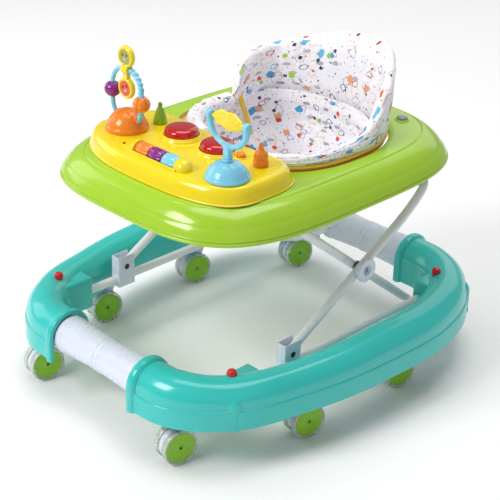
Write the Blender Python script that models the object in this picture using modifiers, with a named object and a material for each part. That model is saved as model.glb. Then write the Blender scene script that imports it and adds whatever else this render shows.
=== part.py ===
"""Baby walker: a ring base on eight twin-wheel casters, a folding steel scissor, a play tray and a seat.

Metres, +Z up. The origin is on the floor under the middle of the base ring. The tray's toys
are at -Y, the seat's back is at +Y.
"""

import math

import bmesh
import bpy
from mathutils import Matrix, Vector

# ---------------------------------------------------------------- driving dimensions
FIT = 0.0003            # clearance between touching pieces
TUBE_R = 0.007          # steel leg tubes and slide bars

# base ring
RING_Y = 0.2975         # ring tubes' axis, front and rear
RING_Z = 0.1065         # centre of the rail's round crown
RING_BOTTOM = 0.070
RAIL_R = 0.034          # crown radius, outside
SKIRT_OUT = 0.0365      # skirt's half width below the step
RAIL_WALL = 0.003
COLLAR_R = 0.0385
COLLAR_BORE_R = 0.0326
COLLAR_X = 0.088        # inner face of a collar
# the right rail's middle line in plan, with the section's scale at each point
RAIL_PATH = [(0.092, -RING_Y, 1), (0.150, -0.2885, 1), (0.2030, -0.2430, 0.92), (0.2375, -0.150, 0.88),
             (0.2570, 0.030, 1), (0.248, 0.165, 1), (0.205, 0.2520, 1), (0.150, 0.2905, 1), (0.092, RING_Y, 1)]
BUMPERS = [(0.2190, -0.2480), (0.2260, 0.2600)]
BLOCK_BOTTOM = 0.0706
BLOCK_TOP = 0.127
TUBE_END_R = 0.0305
TUBE_WAIST_R = 0.0275

# casters: wheel centres, and one swivel angle for all
WHEEL_R = 0.0285
WHEEL_FACE = 0.0165     # outer disc face from the middle
WHEEL_GAP = 0.0058      # inner disc face from the middle
TRAIL = 0.010
SWIVEL = math.radians(-12)
STEM_R = 0.0048
CASTERS = {
    "front_left": (-0.1555, -0.2877), "front_right": (0.1555, -0.2877),
    "side_front_left": (-0.2340, -0.1017), "side_front_right": (0.2340, -0.1017),
    "side_rear_left": (-0.2360, 0.1063), "side_rear_right": (0.2360, 0.1063),
    "rear_left": (-0.1555, 0.2877), "rear_right": (0.1555, 0.2877),
}

# scissor, in the YZ plane
SLIDE_PIVOT = Vector((0, -0.105, 0.119))
CROSS_PIVOT = Vector((0, 0.049, 0.207))
REAR_PIVOT = Vector((0, 0.184, 0.100))
FRONT_TRAY_AXIS = Vector((0, -0.0903, 0.3174))
REAR_TRAY_AXIS = Vector((0, 0.205, 0.312))
BAR_X = 0.190
BAR_Z = 0.097
BAR_ENDS = (-0.204, 0.212)
OUTER_LEG_X = 0.190
INNER_LEG_X = 0.1745
CHEEK_X = 0.0095        # a clevis's half width
LEG_CORNER = 0.034
PIN_R = 0.003
FOOT_FACE = INNER_LEG_X - TUBE_R - FIT      # where a foot stud's head meets the rear leg
HUB_FACE = OUTER_LEG_X + TUBE_R + FIT       # where a hub cap meets the front leg
TRACK_TRAVEL = 0.063    # how far the front tray axis slides forward under the tray

# latch buttons on the socket blocks
LATCH_X = 0.199
LATCH_Y = 0.2315
LATCH_TOP = 0.1435

# tray
TRAY_X = 0.2263
TRAY_Y = (-0.2744, 0.2996)
TRAY_POWER = 3.62
TRAY_RIM_Z = 0.332
PLATEAU_Z = 0.3755
PLATEAU_X = 0.178
PLATEAU_Y = (-0.244, 0.262)
OPENING_X = 0.160
OPENING_Y = (-0.095, 0.2195)
OPENING_POWER = 2.4
TRAY_WALL = 0.003
CONSOLE_TOP = 0.4013
TOY_Z = CONSOLE_TOP + FIT

# finishes: colour (linear), roughness, metallic
TEAL = ((0.045, 0.55, 0.50), 0.25, 0)
WHITE = ((0.82, 0.85, 0.92), 0.30, 0)
LIME = ((0.42, 0.70, 0.06), 0.22, 0)
YELLOW = ((0.90, 0.66, 0.02), 0.25, 0)
ORANGE = ((0.90, 0.25, 0.02), 0.28, 0)
RED = ((0.60, 0.01, 0.02), 0.12, 0)
PURPLE = ((0.24, 0.01, 0.24), 0.28, 0)
SKY = ((0.25, 0.68, 0.80), 0.28, 0)
GREEN = ((0.20, 0.45, 0.02), 0.30, 0)
STEEL = ((0.60, 0.60, 0.62), 0.30, 1)
WHITE_PAINT = ((0.80, 0.80, 0.82), 0.30, 0)
FABRIC = ((0.86, 0.85, 0.86), 0.90, 0)
BOARD = ((0.05, 0.20, 0.08), 0.50, 0)


# ---------------------------------------------------------------- helpers
def clear_scene():
    for obj in list(bpy.data.objects):
        bpy.data.objects.remove(obj, do_unlink=True)


def new_collection(name, hidden=False):
    collection = bpy.data.collections.new(name)
    bpy.context.scene.collection.children.link(collection)
    collection.hide_render = hidden
    return collection


clear_scene()
PARTS = new_collection("baby_walker")
CUTTERS = new_collection("cutters", hidden=True)


def dress(obj, finish):
    """Gives a part its own material and moves it into the parts collection."""
    colour, roughness, metallic = finish
    material = bpy.data.materials.new(obj.name + "_material")
    material.use_nodes = True
    shader = material.node_tree.nodes["Principled BSDF"]
    shader.inputs["Base Color"].default_value = (*colour, 1)
    shader.inputs["Roughness"].default_value = roughness
    shader.inputs["Metallic"].default_value = metallic
    obj.material_slots[0].material = material
    PARTS.objects.link(obj)
    return obj


def hide(obj):
    """Makes an object a cutter, left out of the model."""
    obj.hide_render = True
    obj.display_type = "WIRE"
    CUTTERS.objects.link(obj)
    return obj


def mesh_object(name, bm):
    mesh = bpy.data.meshes.new(name)
    bm.to_mesh(mesh)
    bm.free()
    mesh.materials.append(None)
    return bpy.data.objects.new(name, mesh)


def box(name, low, high, bevel=0.0):
    """A box between two corners, with rounded edges where bevel is given."""
    low, high = Vector(low), Vector(high)
    bm = bmesh.new()
    bmesh.ops.create_cube(bm, size=1, matrix=Matrix.Diagonal((*(high - low), 1)))
    obj = mesh_object(name, bm)
    obj.location = (low + high) / 2
    if bevel:
        rounding = obj.modifiers.new("edges", "BEVEL")
        rounding.width = bevel
        rounding.segments = 1
    return obj


def turned(name, profile, location=(0, 0, 0), rotation=(0, 0, 0), steps=20):
    """A turned piece from (radius, height) points, listed down the outer side from top to bottom."""
    bm = bmesh.new()
    points = [bm.verts.new((radius, 0, height)) for radius, height in profile]
    for upper, lower in zip(points, points[1:]):
        bm.edges.new((upper, lower))
    obj = mesh_object(name, bm)
    screw = obj.modifiers.new("turn", "SCREW")
    screw.steps = screw.render_steps = steps
    screw.use_merge_vertices = True
    screw.merge_threshold = 0.0001
    obj.location = location
    obj.rotation_euler = rotation
    return obj


ALONG_X = (0, math.pi / 2, 0)       # turns a turned piece's height to +X
ALONG_Y = (-math.pi / 2, 0, 0)      # turns a turned piece's height to +Y


def rod(name, radius, low, high, location=(0, 0, 0), rotation=(0, 0, 0), steps=16):
    return turned(name, [(0, high), (radius, high), (radius, low), (0, low)], location, rotation, steps)


def arc(centre, radius, start, end, count):
    """Points round a circle from start to end degrees."""
    angles = [math.radians(start + (end - start) * i / count) for i in range(count + 1)]
    return [(centre[0] + radius * math.cos(a), centre[1] + radius * math.sin(a)) for a in angles]


def tube(name, points, radius, sides_each=3, closed=False):
    """A round tube along a list of points, as a mesh with welded ends."""
    curve = bpy.data.curves.new(name, "CURVE")
    curve.dimensions = "3D"
    curve.bevel_depth = radius
    curve.bevel_resolution = sides_each
    curve.use_fill_caps = not closed
    spline = curve.splines.new("POLY")
    spline.points.add(len(points) - 1)
    spline.use_cyclic_u = closed
    for target, point in zip(spline.points, points):
        target.co = (*point, 1)
    return curve_to_mesh(name, curve)


def curve_to_mesh(name, curve):
    guide = bpy.data.objects.new(name + "_guide", curve)
    bpy.context.scene.collection.objects.link(guide)
    graph = bpy.context.evaluated_depsgraph_get()
    mesh = bpy.data.meshes.new_from_object(guide.evaluated_get(graph))
    bm = bmesh.new()
    bm.from_mesh(mesh)
    bmesh.ops.remove_doubles(bm, verts=bm.verts, dist=0.00001)
    bpy.data.objects.remove(guide)
    return mesh_object(name, bm)


def swept(name, path, profile, steps_each):
    """An open (across, up) profile swept along a smooth path of (x, y, scale of the profile)."""
    section = bpy.data.curves.new(name + "_section", "CURVE")
    outline = section.splines.new("POLY")
    outline.points.add(len(profile) - 1)
    for target, (across, up) in zip(outline.points, profile):
        target.co = (across, up, 0, 1)
    section_object = bpy.data.objects.new(name + "_section", section)
    bpy.context.scene.collection.objects.link(section_object)
    curve = bpy.data.curves.new(name, "CURVE")
    curve.dimensions = "3D"
    curve.twist_mode = "Z_UP"
    curve.resolution_u = steps_each
    curve.bevel_mode = "OBJECT"
    curve.bevel_object = section_object
    spline = curve.splines.new("BEZIER")
    spline.bezier_points.add(len(path) - 1)
    for target, (x, y, scale) in zip(spline.bezier_points, path):
        target.co = (x, y, 0)
        target.radius = scale
        target.handle_left_type = target.handle_right_type = "AUTO"
    obj = curve_to_mesh(name, curve)
    obj.data.flip_normals()
    bpy.data.objects.remove(section_object)
    return obj


def loft(name, rings, closed_ring=True, fill_last=False):
    """A surface through rings that all have the same number of points."""
    bm = bmesh.new()
    rows = [[bm.verts.new(point) for point in ring] for ring in rings]
    for lower, upper in zip(rows, rows[1:]):
        count = len(lower)
        for i in range(count if closed_ring else count - 1):
            j = (i + 1) % count
            bm.faces.new((lower[i], lower[j], upper[j], upper[i]))
    if fill_last:
        bm.faces.new(rows[-1])
    bmesh.ops.recalc_face_normals(bm, faces=bm.faces)
    return mesh_object(name, bm)


def superellipse(half_x, y_range, power, z, count=40):
    """A ring of points between an ellipse and a rectangle, anticlockwise seen from above."""
    middle, half_y = (y_range[0] + y_range[1]) / 2, (y_range[1] - y_range[0]) / 2
    ring = []
    for i in range(count):
        c, s = math.cos(2 * math.pi * i / count), math.sin(2 * math.pi * i / count)
        x = half_x * math.copysign(abs(c) ** (2 / power), c)
        y = middle + half_y * math.copysign(abs(s) ** (2 / power), s)
        ring.append((x, y, z))
    return ring


def thicken(obj, wall, offset=-1):
    solidify = obj.modifiers.new("wall", "SOLIDIFY")
    solidify.thickness = wall
    solidify.offset = offset
    return obj


def combine(obj, other, operation):
    """A Boolean with another object, which becomes a hidden cutter."""
    if not other.users_collection:
        hide(other)
    boolean = obj.modifiers.new(operation.lower() + "_" + other.name, "BOOLEAN")
    boolean.operation = operation
    boolean.object = other
    return obj


def join(obj, *others):
    for other in others:
        combine(obj, other, "UNION")
    return obj


def cut(obj, *others):
    for other in others:
        combine(obj, other, "DIFFERENCE")
    return obj


def baked(obj):
    """The object's evaluated mesh, for copies that share it."""
    bpy.context.scene.collection.objects.link(obj)
    graph = bpy.context.evaluated_depsgraph_get()
    mesh = bpy.data.meshes.new_from_object(obj.evaluated_get(graph))
    bpy.data.objects.remove(obj)
    return mesh


def smooth(obj, angle=40):
    obj.data.shade_smooth()
    obj.data.set_sharp_from_angle(angle=math.radians(angle))
    return obj


def pivot(name, location, spin=0.0):
    """An empty on a joint's axis, which the joint's pieces hang on."""
    empty = bpy.data.objects.new(name, None)
    empty.location = location
    empty.rotation_euler = (0, 0, spin)
    empty.empty_display_size = 0.02
    PARTS.objects.link(empty)
    return empty


def hang(empty, *objects):
    """Parents finished objects to an empty without moving them."""
    bpy.context.view_layer.update()
    for obj in objects:
        obj.parent = empty
        obj.matrix_parent_inverse = empty.matrix_world.inverted()


def placed_mesh(obj):
    """An object's evaluated mesh with its place put into its points."""
    place = Matrix.LocRotScale(obj.location, obj.rotation_euler, obj.scale)
    mesh = baked(obj)
    mesh.transform(place)
    return mesh


# ---------------------------------------------------------------- base ring
def rail_profile():
    """The rail's outer skin in (across, up): straight skirt, a step, round crown, straight inner wall."""
    crown = arc((0, 0), RAIL_R, 18, 180, 6)
    drop = RING_BOTTOM - RING_Z
    skirt_top = -0.004
    return [(SKIRT_OUT, drop), (SKIRT_OUT, skirt_top), (RAIL_R, skirt_top + 0.004), *crown, (-RAIL_R, drop)]


def collar(y_side):
    """An arch over the end of a ring tube, open below."""
    drop = RING_BOTTOM - 0.0005 - RING_Z
    outer = arc((0, 0), COLLAR_R, 0, 180, 6)
    inner = arc((0, 0), COLLAR_BORE_R, 180, 0, 6)
    outline = [(COLLAR_R, drop), *outer, (-COLLAR_R, drop), (-COLLAR_BORE_R, drop), *inner, (COLLAR_BORE_R, drop)]
    bm = bmesh.new()
    face = bm.faces.new([bm.verts.new((COLLAR_X, y, z)) for y, z in outline])
    shell = bmesh.ops.extrude_face_region(bm, geom=[face])["geom"]
    moved = [element for element in shell if isinstance(element, bmesh.types.BMVert)]
    bmesh.ops.translate(bm, verts=moved, vec=(0.012, 0, 0))
    bmesh.ops.recalc_face_normals(bm, faces=bm.faces)
    obj = mesh_object("collar_front" if y_side < 0 else "collar_rear", bm)
    obj.location = (0, y_side * RING_Y, RING_Z)
    return obj


def bumper(x, y):
    dome = arc((0, 0.104), 0.018, 90, 0, 3)
    foot = RING_BOTTOM - 0.0003
    return turned("bumper", [*dome, (0.018, foot), (0, foot)], (x, y, 0), steps=10)


def latch_bore(x, y):
    """A stepped hole for a latch button: a pocket for its head over a hole for its stem."""
    profile = [(0, 0.160), (0.0068, 0.160), (0.0068, 0.1285), (0.0034, 0.1285), (0.0034, 0.0985), (0, 0.0985)]
    return turned("latch_bore", profile, (x, y, 0), steps=8)


def rail_mesh():
    """The right rail: shell, collars, corner bumpers, socket blocks and caster sockets in one moulding."""
    rail = thicken(swept("rail", RAIL_PATH, rail_profile(), 3), RAIL_WALL, -1)
    rail.location.z = RING_Z
    join(rail, collar(-1), collar(1))
    for x, y in BUMPERS:
        join(rail, bumper(x, y))
    join(rail, box("front_block", (0.178, -0.245, BLOCK_BOTTOM), (0.216, -0.1785, BLOCK_TOP)))
    join(rail, box("rear_block", (0.178, 0.1985, BLOCK_BOTTOM), (0.222, 0.245, BLOCK_TOP)))
    for name, (x, y) in CASTERS.items():
        if x > 0:
            boss_top = 0.1305 if name.startswith("side") else 0.1382
            join(rail, rod("boss_" + name, 0.011, BLOCK_BOTTOM, boss_top, (x, y, 0), steps=8))
            cut(rail, rod("socket_" + name, STEM_R + 0.0006, 0.060, 0.101, (x, y, 0), steps=8))
    for y in (-LATCH_Y, LATCH_Y):
        cut(rail, latch_bore(LATCH_X, y))
    low, high = BAR_ENDS
    cut(rail, rod("bar_bore", TUBE_R + FIT, low - FIT, high + FIT, (BAR_X, 0, BAR_Z), ALONG_Y, 12))
    return placed_mesh(rail)


def build_base():
    right = rail_mesh()
    left = right.copy()
    left.transform(Matrix.Diagonal((-1, 1, 1, 1)))
    left.flip_normals()
    for name, mesh in (("rail_right", right), ("rail_left", left)):
        mesh.materials.clear()
        mesh.materials.append(None)
        dress(smooth(bpy.data.objects.new(name, mesh)), TEAL)

    end = COLLAR_X + 0.018
    outer = [(0.0283, end), (0.0283, 0.0876), (TUBE_END_R, 0.0868), (TUBE_END_R, 0.080), (0.0295, 0.055), (TUBE_WAIST_R, 0.004), (0.0270, 0)]
    outer += [(radius, -height) for radius, height in reversed(outer[:-1])]
    inner = [(0.0245, -end), (0.0245, end)]
    for name, y in (("front_tube", -RING_Y), ("rear_tube", RING_Y)):
        obj = turned(name, [*outer, *inner, outer[0]], (0, y, RING_Z), ALONG_X, 18)
        dress(smooth(obj), WHITE)

    low, high = BAR_ENDS
    for name, x in (("slide_bar_left", -BAR_X), ("slide_bar_right", BAR_X)):
        bar = rod(name, TUBE_R, low, high, (x, 0, BAR_Z), ALONG_Y)
        join(bar, stud("foot_" + name, BAR_X, FOOT_FACE, FOOT_FACE - 0.004, REAR_PIVOT, math.copysign(1, x)))
        dress(smooth(bar), WHITE_PAINT)


def stud(name, root, neck, end, place, side):
    """A welded pivot stud along X from its root to a flat head, which lies between neck and end."""
    if end < root:
        profile = [(0, root), (PIN_R, root), (PIN_R, neck), (0.0060, neck), (0.0060, end), (0, end)]
    else:
        profile = [(0, end), (0.0060, end), (0.0060, neck), (PIN_R, neck), (PIN_R, root), (0, root)]
    return turned(name, profile, place, (0, side * math.pi / 2, 0), 8)


def build_latches():
    """Four sprung red buttons that press down into the socket blocks."""
    head = [(0, LATCH_TOP), (0.0030, LATCH_TOP - 0.0004), (0.0052, LATCH_TOP - 0.0025),
            (0.0060, LATCH_TOP - 0.0060), (0.0050, LATCH_TOP - 0.0105)]
    stem = [(PIN_R, LATCH_TOP - 0.0105), (PIN_R, 0.104), (0, 0.104)]
    for end, y in (("front", -LATCH_Y), ("rear", LATCH_Y)):
        for side, x in (("left", -LATCH_X), ("right", LATCH_X)):
            button = turned("latch_button_%s_%s" % (end, side), [*head, *stem], (x, y, 0), steps=10)
            dress(smooth(button), RED)


# ---------------------------------------------------------------- casters
def fork_mesh():
    """A caster's hood plate, neck and stem, with its stem axis at the origin."""
    hood = arc((-TRAIL, WHEEL_R), 0.0262, -20, 200, 8)
    bm = bmesh.new()
    outline = [bm.verts.new((-0.005, y, z)) for y, z in hood]
    face = bm.faces.new(outline)
    plate = bmesh.ops.extrude_face_region(bm, geom=[face])["geom"]
    moved = [element for element in plate if isinstance(element, bmesh.types.BMVert)]
    bmesh.ops.translate(bm, verts=moved, vec=(0.010, 0, 0))
    bmesh.ops.recalc_face_normals(bm, faces=bm.faces)
    fork = mesh_object("fork", bm)
    join(fork, turned("neck", [(0, 0.098), (STEM_R, 0.098), (STEM_R, 0.0700), (0.0115, 0.0690),
                               (0.0105, 0.0600), (0.0048, 0.0585), (0.0045, 0.0500),
                               (0, 0.0500)], steps=10))
    cut(fork, rod("axle_bore", 0.0032, -0.02, 0.02, (0, -TRAIL, WHEEL_R), ALONG_X, 8))
    return baked(fork)


def wheels_mesh():
    """Two wheels and their axle, turned about X with the axle's middle at the origin."""
    half = [(0, WHEEL_FACE), (0.0270, WHEEL_FACE - 0.0010), (WHEEL_R, WHEEL_FACE - 0.0035),
            (WHEEL_R, WHEEL_GAP + 0.0025), (0.0265, WHEEL_GAP), (0.0028, WHEEL_GAP)]
    other = [(radius, -height) for radius, height in reversed(half)]
    return baked(turned("wheels", [*half, *other], rotation=ALONG_X, steps=14))


def build_casters():
    fork, wheels = fork_mesh(), wheels_mesh()
    wheels.transform(Matrix.Rotation(math.pi / 2, 4, "Y"))
    for place, (x, y) in CASTERS.items():
        swivel = pivot("swivel_" + place, (x, y, 0), SWIVEL)
        axle = pivot("axle_" + place, (0, -TRAIL, WHEEL_R))
        axle.parent = swivel
        fork_object = bpy.data.objects.new("caster_fork_" + place, fork)
        fork_object.parent = swivel
        wheel_object = bpy.data.objects.new("caster_wheels_" + place, wheels)
        wheel_object.parent = axle
        dress_copy(fork_object, WHITE)
        dress_copy(wheel_object, GREEN)


def dress_copy(obj, finish):
    """Dresses an object that shares its mesh, by a slot of its own."""
    if not obj.data.materials:
        obj.data.materials.append(None)
    obj.material_slots[0].link = "OBJECT"
    smooth(obj)
    return dress(obj, finish)


# ---------------------------------------------------------------- scissor
def leg_path(half_width, foot, shoulder, top, tail):
    """A U of tube: up one side from below the foot pivot, round a corner, across, and down the other side."""
    up = (shoulder - foot).normalized()
    lift = (top - shoulder).normalized()
    start = foot - up * tail
    turn = top - lift * LEG_CORNER
    side = [(half_width, *start.yz), (half_width, *shoulder.yz)]
    if (turn - shoulder).dot(lift) > 0.004:
        side.append((half_width, *turn.yz))
    corner = []
    for i in range(1, 5):
        angle = math.radians(90 * i / 4)
        inward = half_width - LEG_CORNER * (1 - math.cos(angle))
        along = turn + lift * LEG_CORNER * math.sin(angle)
        corner.append((inward, *along.yz))
    right = side + corner
    left = [(-x, y, z) for x, y, z in reversed(right)]
    return right + left


def pin_bore(place, x):
    return rod("pin_bore", PIN_R + FIT, -0.03, 0.03, (x, *place.yz), ALONG_X, 8)


def build_legs():
    """The two U frames that cross at the hubs."""
    rear_fold = pivot("rear_fold_pivot", REAR_PIVOT)
    front_fold = pivot("front_fold_pivot", CROSS_PIVOT)
    rise = (FRONT_TRAY_AXIS - REAR_PIVOT).normalized()
    rear_shoulder = FRONT_TRAY_AXIS - rise * LEG_CORNER
    rear_path = leg_path(INNER_LEG_X, REAR_PIVOT, rear_shoulder, FRONT_TRAY_AXIS, 0.009)
    rear_frame = tube("rear_leg_frame", rear_path, TUBE_R)
    slope = (CROSS_PIVOT - SLIDE_PIVOT).normalized()
    front_shoulder = SLIDE_PIVOT + slope * 0.305
    front_path = leg_path(OUTER_LEG_X, SLIDE_PIVOT, front_shoulder, REAR_TRAY_AXIS, 0.008)
    front_frame = tube("front_leg_frame", front_path, TUBE_R)
    for name, side in (("left", -1), ("right", 1)):
        cut(rear_frame, pin_bore(REAR_PIVOT, side * INNER_LEG_X))
        seat, crown = HUB_FACE + 0.0045, HUB_FACE + 0.0080
        join(rear_frame, stud("hub_stud", INNER_LEG_X, seat + FIT, seat + 0.0022, CROSS_PIVOT, side))
        cut(front_frame, pin_bore(SLIDE_PIVOT, side * OUTER_LEG_X), pin_bore(CROSS_PIVOT, side * OUTER_LEG_X))
        profile = [(0.0066, crown), (0.0180, crown), (0.0195, crown - 0.0016), (0.0195, HUB_FACE),
                   (PIN_R + FIT, HUB_FACE), (PIN_R + FIT, seat), (0.0066, seat), (0.0066, crown)]
        cap = turned("hub_cap_" + name, profile, CROSS_PIVOT, (0, side * math.pi / 2, 0), 16)
        hang(front_fold, dress(smooth(cap), WHITE))
    hang(rear_fold, dress(smooth(rear_frame), WHITE_PAINT))
    hang(front_fold, dress(smooth(front_frame), WHITE_PAINT))


def build_clevises():
    """Sliding blocks on the bars, which hold the front legs' feet between two cheeks."""
    slide = pivot("slide_pivot", SLIDE_PIVOT)
    y = SLIDE_PIVOT.y
    for name, side in (("left", -1), ("right", 1)):
        x = side * BAR_X
        block = box("clevis_" + name, (x - CHEEK_X, y - 0.017, 0.084), (x + CHEEK_X, y + 0.017, 0.139), 0.0012)
        slot = box("slot", (x - 0.0075, y - 0.03, 0.106), (x + 0.0075, y + 0.03, 0.15))
        bore = rod("slide_bore", TUBE_R + 0.0009, -0.03, 0.03, (x, y, BAR_Z), ALONG_Y, 12)
        cut(block, slot, bore, rod("cheek_bore", PIN_R + FIT, -0.03, 0.03, (x, *SLIDE_PIVOT.yz), ALONG_X, 8))
        outside, inside = BAR_X + CHEEK_X + FIT, BAR_X - CHEEK_X - FIT
        profile = [(0, outside + 0.0016), (0.0045, outside + 0.0012), (0.0050, outside), (PIN_R, outside),
                   (PIN_R, inside), (0.0050, inside), (0.0045, inside - 0.0012), (0, inside - 0.0016)]
        pin = turned("clevis_pin_" + name, profile, SLIDE_PIVOT, (0, side * math.pi / 2, 0), 8)
        hang(slide, dress(block, WHITE), dress(smooth(pin), STEEL))


# ---------------------------------------------------------------- tray
def build_tray(tray):
    """The tray's shell: rim, rounded shoulder, flat top, and a lip down into the seat opening."""
    rings = []
    for step in range(6):
        share = step / 5
        height = TRAY_RIM_Z + 0.006 * min(1, step) + (PLATEAU_Z - TRAY_RIM_Z - 0.006) * math.sin(share * math.pi / 2)
        inset = share ** 1.25
        half_x = TRAY_X + (PLATEAU_X - TRAY_X) * inset
        y_range = [a + (b - a) * inset for a, b in zip(TRAY_Y, PLATEAU_Y)]
        rings.append(superellipse(half_x, y_range, TRAY_POWER, height))
    rings.insert(1, superellipse(TRAY_X + 0.0005, TRAY_Y, TRAY_POWER, TRAY_RIM_Z + 0.005))
    opening = superellipse(OPENING_X, OPENING_Y, OPENING_POWER, PLATEAU_Z)
    rings.append(opening)
    rings.append([(x, y, z - 0.009) for x, y, z in opening])
    shell = thicken(loft("tray", rings), TRAY_WALL)
    for side in (-1, 1):
        profile = [(0, 0.3815), (0.0065, 0.3812), (0.0085, 0.3795), (0.0095, PLATEAU_Z - 0.001),
                   (0, PLATEAU_Z - 0.001)]
        join(shell, turned("tray_stud", profile, (side * 0.103, 0.2345, 0), steps=12))
    hang(tray, dress(smooth(shell), LIME))

    underside = PLATEAU_Z - TRAY_WALL - FIT
    for name, side in (("left", -1), ("right", 1)):
        x, (y, z) = side * 0.137, REAR_TRAY_AXIS.yz
        bracket = box("rear_bracket_" + name, (x - 0.008, y - 0.013, z - 0.013), (x + 0.008, y + 0.013, underside))
        cut(bracket, rod("bracket_bore", TUBE_R + 0.0008, -0.02, 0.02, (x, y, z), ALONG_X, 12))
        x, (y, z) = side * 0.120, FRONT_TRAY_AXIS.yz
        low = (x - 0.006, y - TRACK_TRAVEL - 0.020, z - 0.0165)
        track = box("front_track_" + name, low, (x + 0.006, y + 0.020, underside))
        slot_low = (x - 0.02, y - TRACK_TRAVEL - 0.0095, z - 0.0085)
        cut(track, box("track_slot", slot_low, (x + 0.02, y + 0.0095, z + 0.0100)))
        hang(tray, dress(bracket, WHITE), dress(track, WHITE))


def build_seat(tray):
    """The ring in the tray's opening, the fabric bucket that hangs in it, and the padded back."""
    ring_x = OPENING_X - 0.0045
    ring_y = (OPENING_Y[0] + 0.0045, OPENING_Y[1] - 0.0045)
    ring_path = superellipse(ring_x, ring_y, OPENING_POWER, PLATEAU_Z - 0.0052, 32)
    ring = tube("seat_ring", ring_path, 0.004, 1, closed=True)
    hang(tray, dress(smooth(ring), ORANGE))

    levels = [(0.149, -0.083, 0.2070, 0.3710), (0.144, -0.060, 0.1900, 0.3300), (0.130, -0.040, 0.1780, 0.2800),
              (0.108, -0.018, 0.1600, 0.2350), (0.070, 0.015, 0.1250, 0.2120)]
    rings = [superellipse(x, (front, rear), 2.3, z, 24) for x, front, rear, z in levels]
    bucket = thicken(loft("seat_bucket", rings, fill_last=True), 0.003)
    for side in (-1, 1):
        leg_hole = rod("leg_hole", 0.042, -0.09, 0.09, (side * 0.060, -0.030, 0.268), ALONG_Y, 12)
        cut(bucket, leg_hole)
    hang(tray, dress(smooth(bucket), FABRIC))

    sections = []
    for i in range(25):
        turn = math.radians(-105 + 245 * i / 24)
        s, c = math.sin(turn), math.cos(turn)
        reach = 1 / ((abs(s) / 0.146) ** 2.6 + (abs(c) / 0.140) ** 2.6) ** (1 / 2.6)
        crest = 0.398 + 0.108 * max(0.0, math.cos((turn - math.radians(18)) * 0.66)) ** 1.3
        lean = 0.010 * (crest - 0.398) / 0.108
        outer, inner = reach + 0.008, reach - 0.008
        points = [(outer, 0.3803), (outer + lean, crest - 0.006), (reach + 0.002 + lean, crest), (inner + lean, crest - 0.006),
                  (inner, 0.3803)]
        sections.append([(s * radius, 0.062 + c * radius, z) for radius, z in points])
    pad = loft("seat_back_pad", sections)
    bm = bmesh.new()
    bm.from_mesh(pad.data)
    bmesh.ops.holes_fill(bm, edges=bm.edges)
    bmesh.ops.recalc_face_normals(bm, faces=bm.faces)
    bm.to_mesh(pad.data)
    bm.free()
    hang(tray, dress(smooth(pad), FABRIC))


# ---------------------------------------------------------------- toy console
ROLLER_Y, ROLLER_Z = -0.200, 0.403
ROLLERS = [("roller_orange", -0.0190, ORANGE), ("roller_purple", 0.0095, PURPLE), ("roller_blue", 0.0380, SKY)]
ROLLER_HALF = 0.0138
ROLLER_R = 0.0122
LIGHT_BUTTONS = [("light_button_left", -0.031, -0.1205), ("light_button_right", 0.046, -0.1195)]
ARCH_X, ARCH_Y = -0.1100, -0.159
BEAD_X = 0.033
SPINNER = Vector((0.1225, -0.173, 0.4865))


def build_console(tray):
    """The yellow shell with the roller's slot and end housing, and the sound module inside it."""
    y_range = (-0.236, -0.067)
    levels = [(0, PLATEAU_Z + 2 * FIT), (0.0015, 0.3880), (0.0040, 0.3960), (0.0080, 0.4000), (0.0130, CONSOLE_TOP)]
    rings = [superellipse(0.1655 - inset, (y_range[0] + inset, y_range[1] - inset), 3.0, z, 24) for inset, z in levels]
    console = thicken(loft("console", rings, fill_last=True), 0.0025)
    cut(console, box("roller_slot", (-0.0345, ROLLER_Y - 0.0135, 0.39), (0.0535, ROLLER_Y + 0.0135, 0.42)))
    knob = [(0, 0.0135), (0.0060, 0.0121), (0.0105, 0.0085), (0.0130, 0.0035), (0.0135, -0.004), (0.0135, -0.0085),
            (0, -0.0085)]
    join(console, turned("roller_end", knob, (0.0620, ROLLER_Y, ROLLER_Z), ALONG_X, 16))
    join(console, box("roller_block", (-0.0420, ROLLER_Y - 0.0130, 0.3960), (-0.0345, ROLLER_Y + 0.0130, 0.4120), 0.002))
    for name, x, y in LIGHT_BUTTONS:
        bezel = [(0.0268, 0.4070), (0.0290, 0.4070), (0.0315, 0.4005), (0.0268, 0.4005), (0.0268, 0.4070)]
        join(console, turned("bezel_" + name, bezel, (x, y, 0), steps=16))
    join(console, rod("roller_axle", 0.0020, -0.0395, 0.0575, (0, ROLLER_Y, ROLLER_Z), ALONG_X, 8))
    hang(tray, dress(smooth(console), YELLOW))
    for name, x, finish in ROLLERS:
        profile = [(0.0024, ROLLER_HALF), (ROLLER_R - 0.001, ROLLER_HALF), (ROLLER_R, ROLLER_HALF - 0.001),
                   (ROLLER_R, 0.001 - ROLLER_HALF), (ROLLER_R - 0.001, -ROLLER_HALF), (0.0024, -ROLLER_HALF),
                   (0.0024, ROLLER_HALF)]
        spin = pivot(name + "_pivot", (x, ROLLER_Y, ROLLER_Z))
        hang(spin, dress(smooth(turned(name, profile, (x, ROLLER_Y, ROLLER_Z), ALONG_X, 16)), finish))
    module = box("music_module", (-0.050, -0.165, PLATEAU_Z + FIT), (0.070, -0.090, 0.3930), 0.002)
    hang(tray, dress(module, BOARD))


def build_buttons(tray):
    """Two red light buttons that press down in the console's bezels, and a small orange button."""
    for name, x, y in LIGHT_BUTTONS:
        profile = [(0, 0.4195), (0.0130, 0.4190), (0.0215, 0.4170), (0.0252, 0.4130), (0.0262, 0.4050), (0, 0.4050)]
        dress(smooth(turned(name, profile, (x, y, 0), steps=16)), RED)
    profile = [(0, 0.4095), (0.0040, 0.4090), (0.0065, 0.4070), (0.0068, 0.4040), (0, 0.4040)]
    dress(smooth(turned("small_button", profile, (0.0845, -0.1090, 0), steps=14)), ORANGE)


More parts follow.
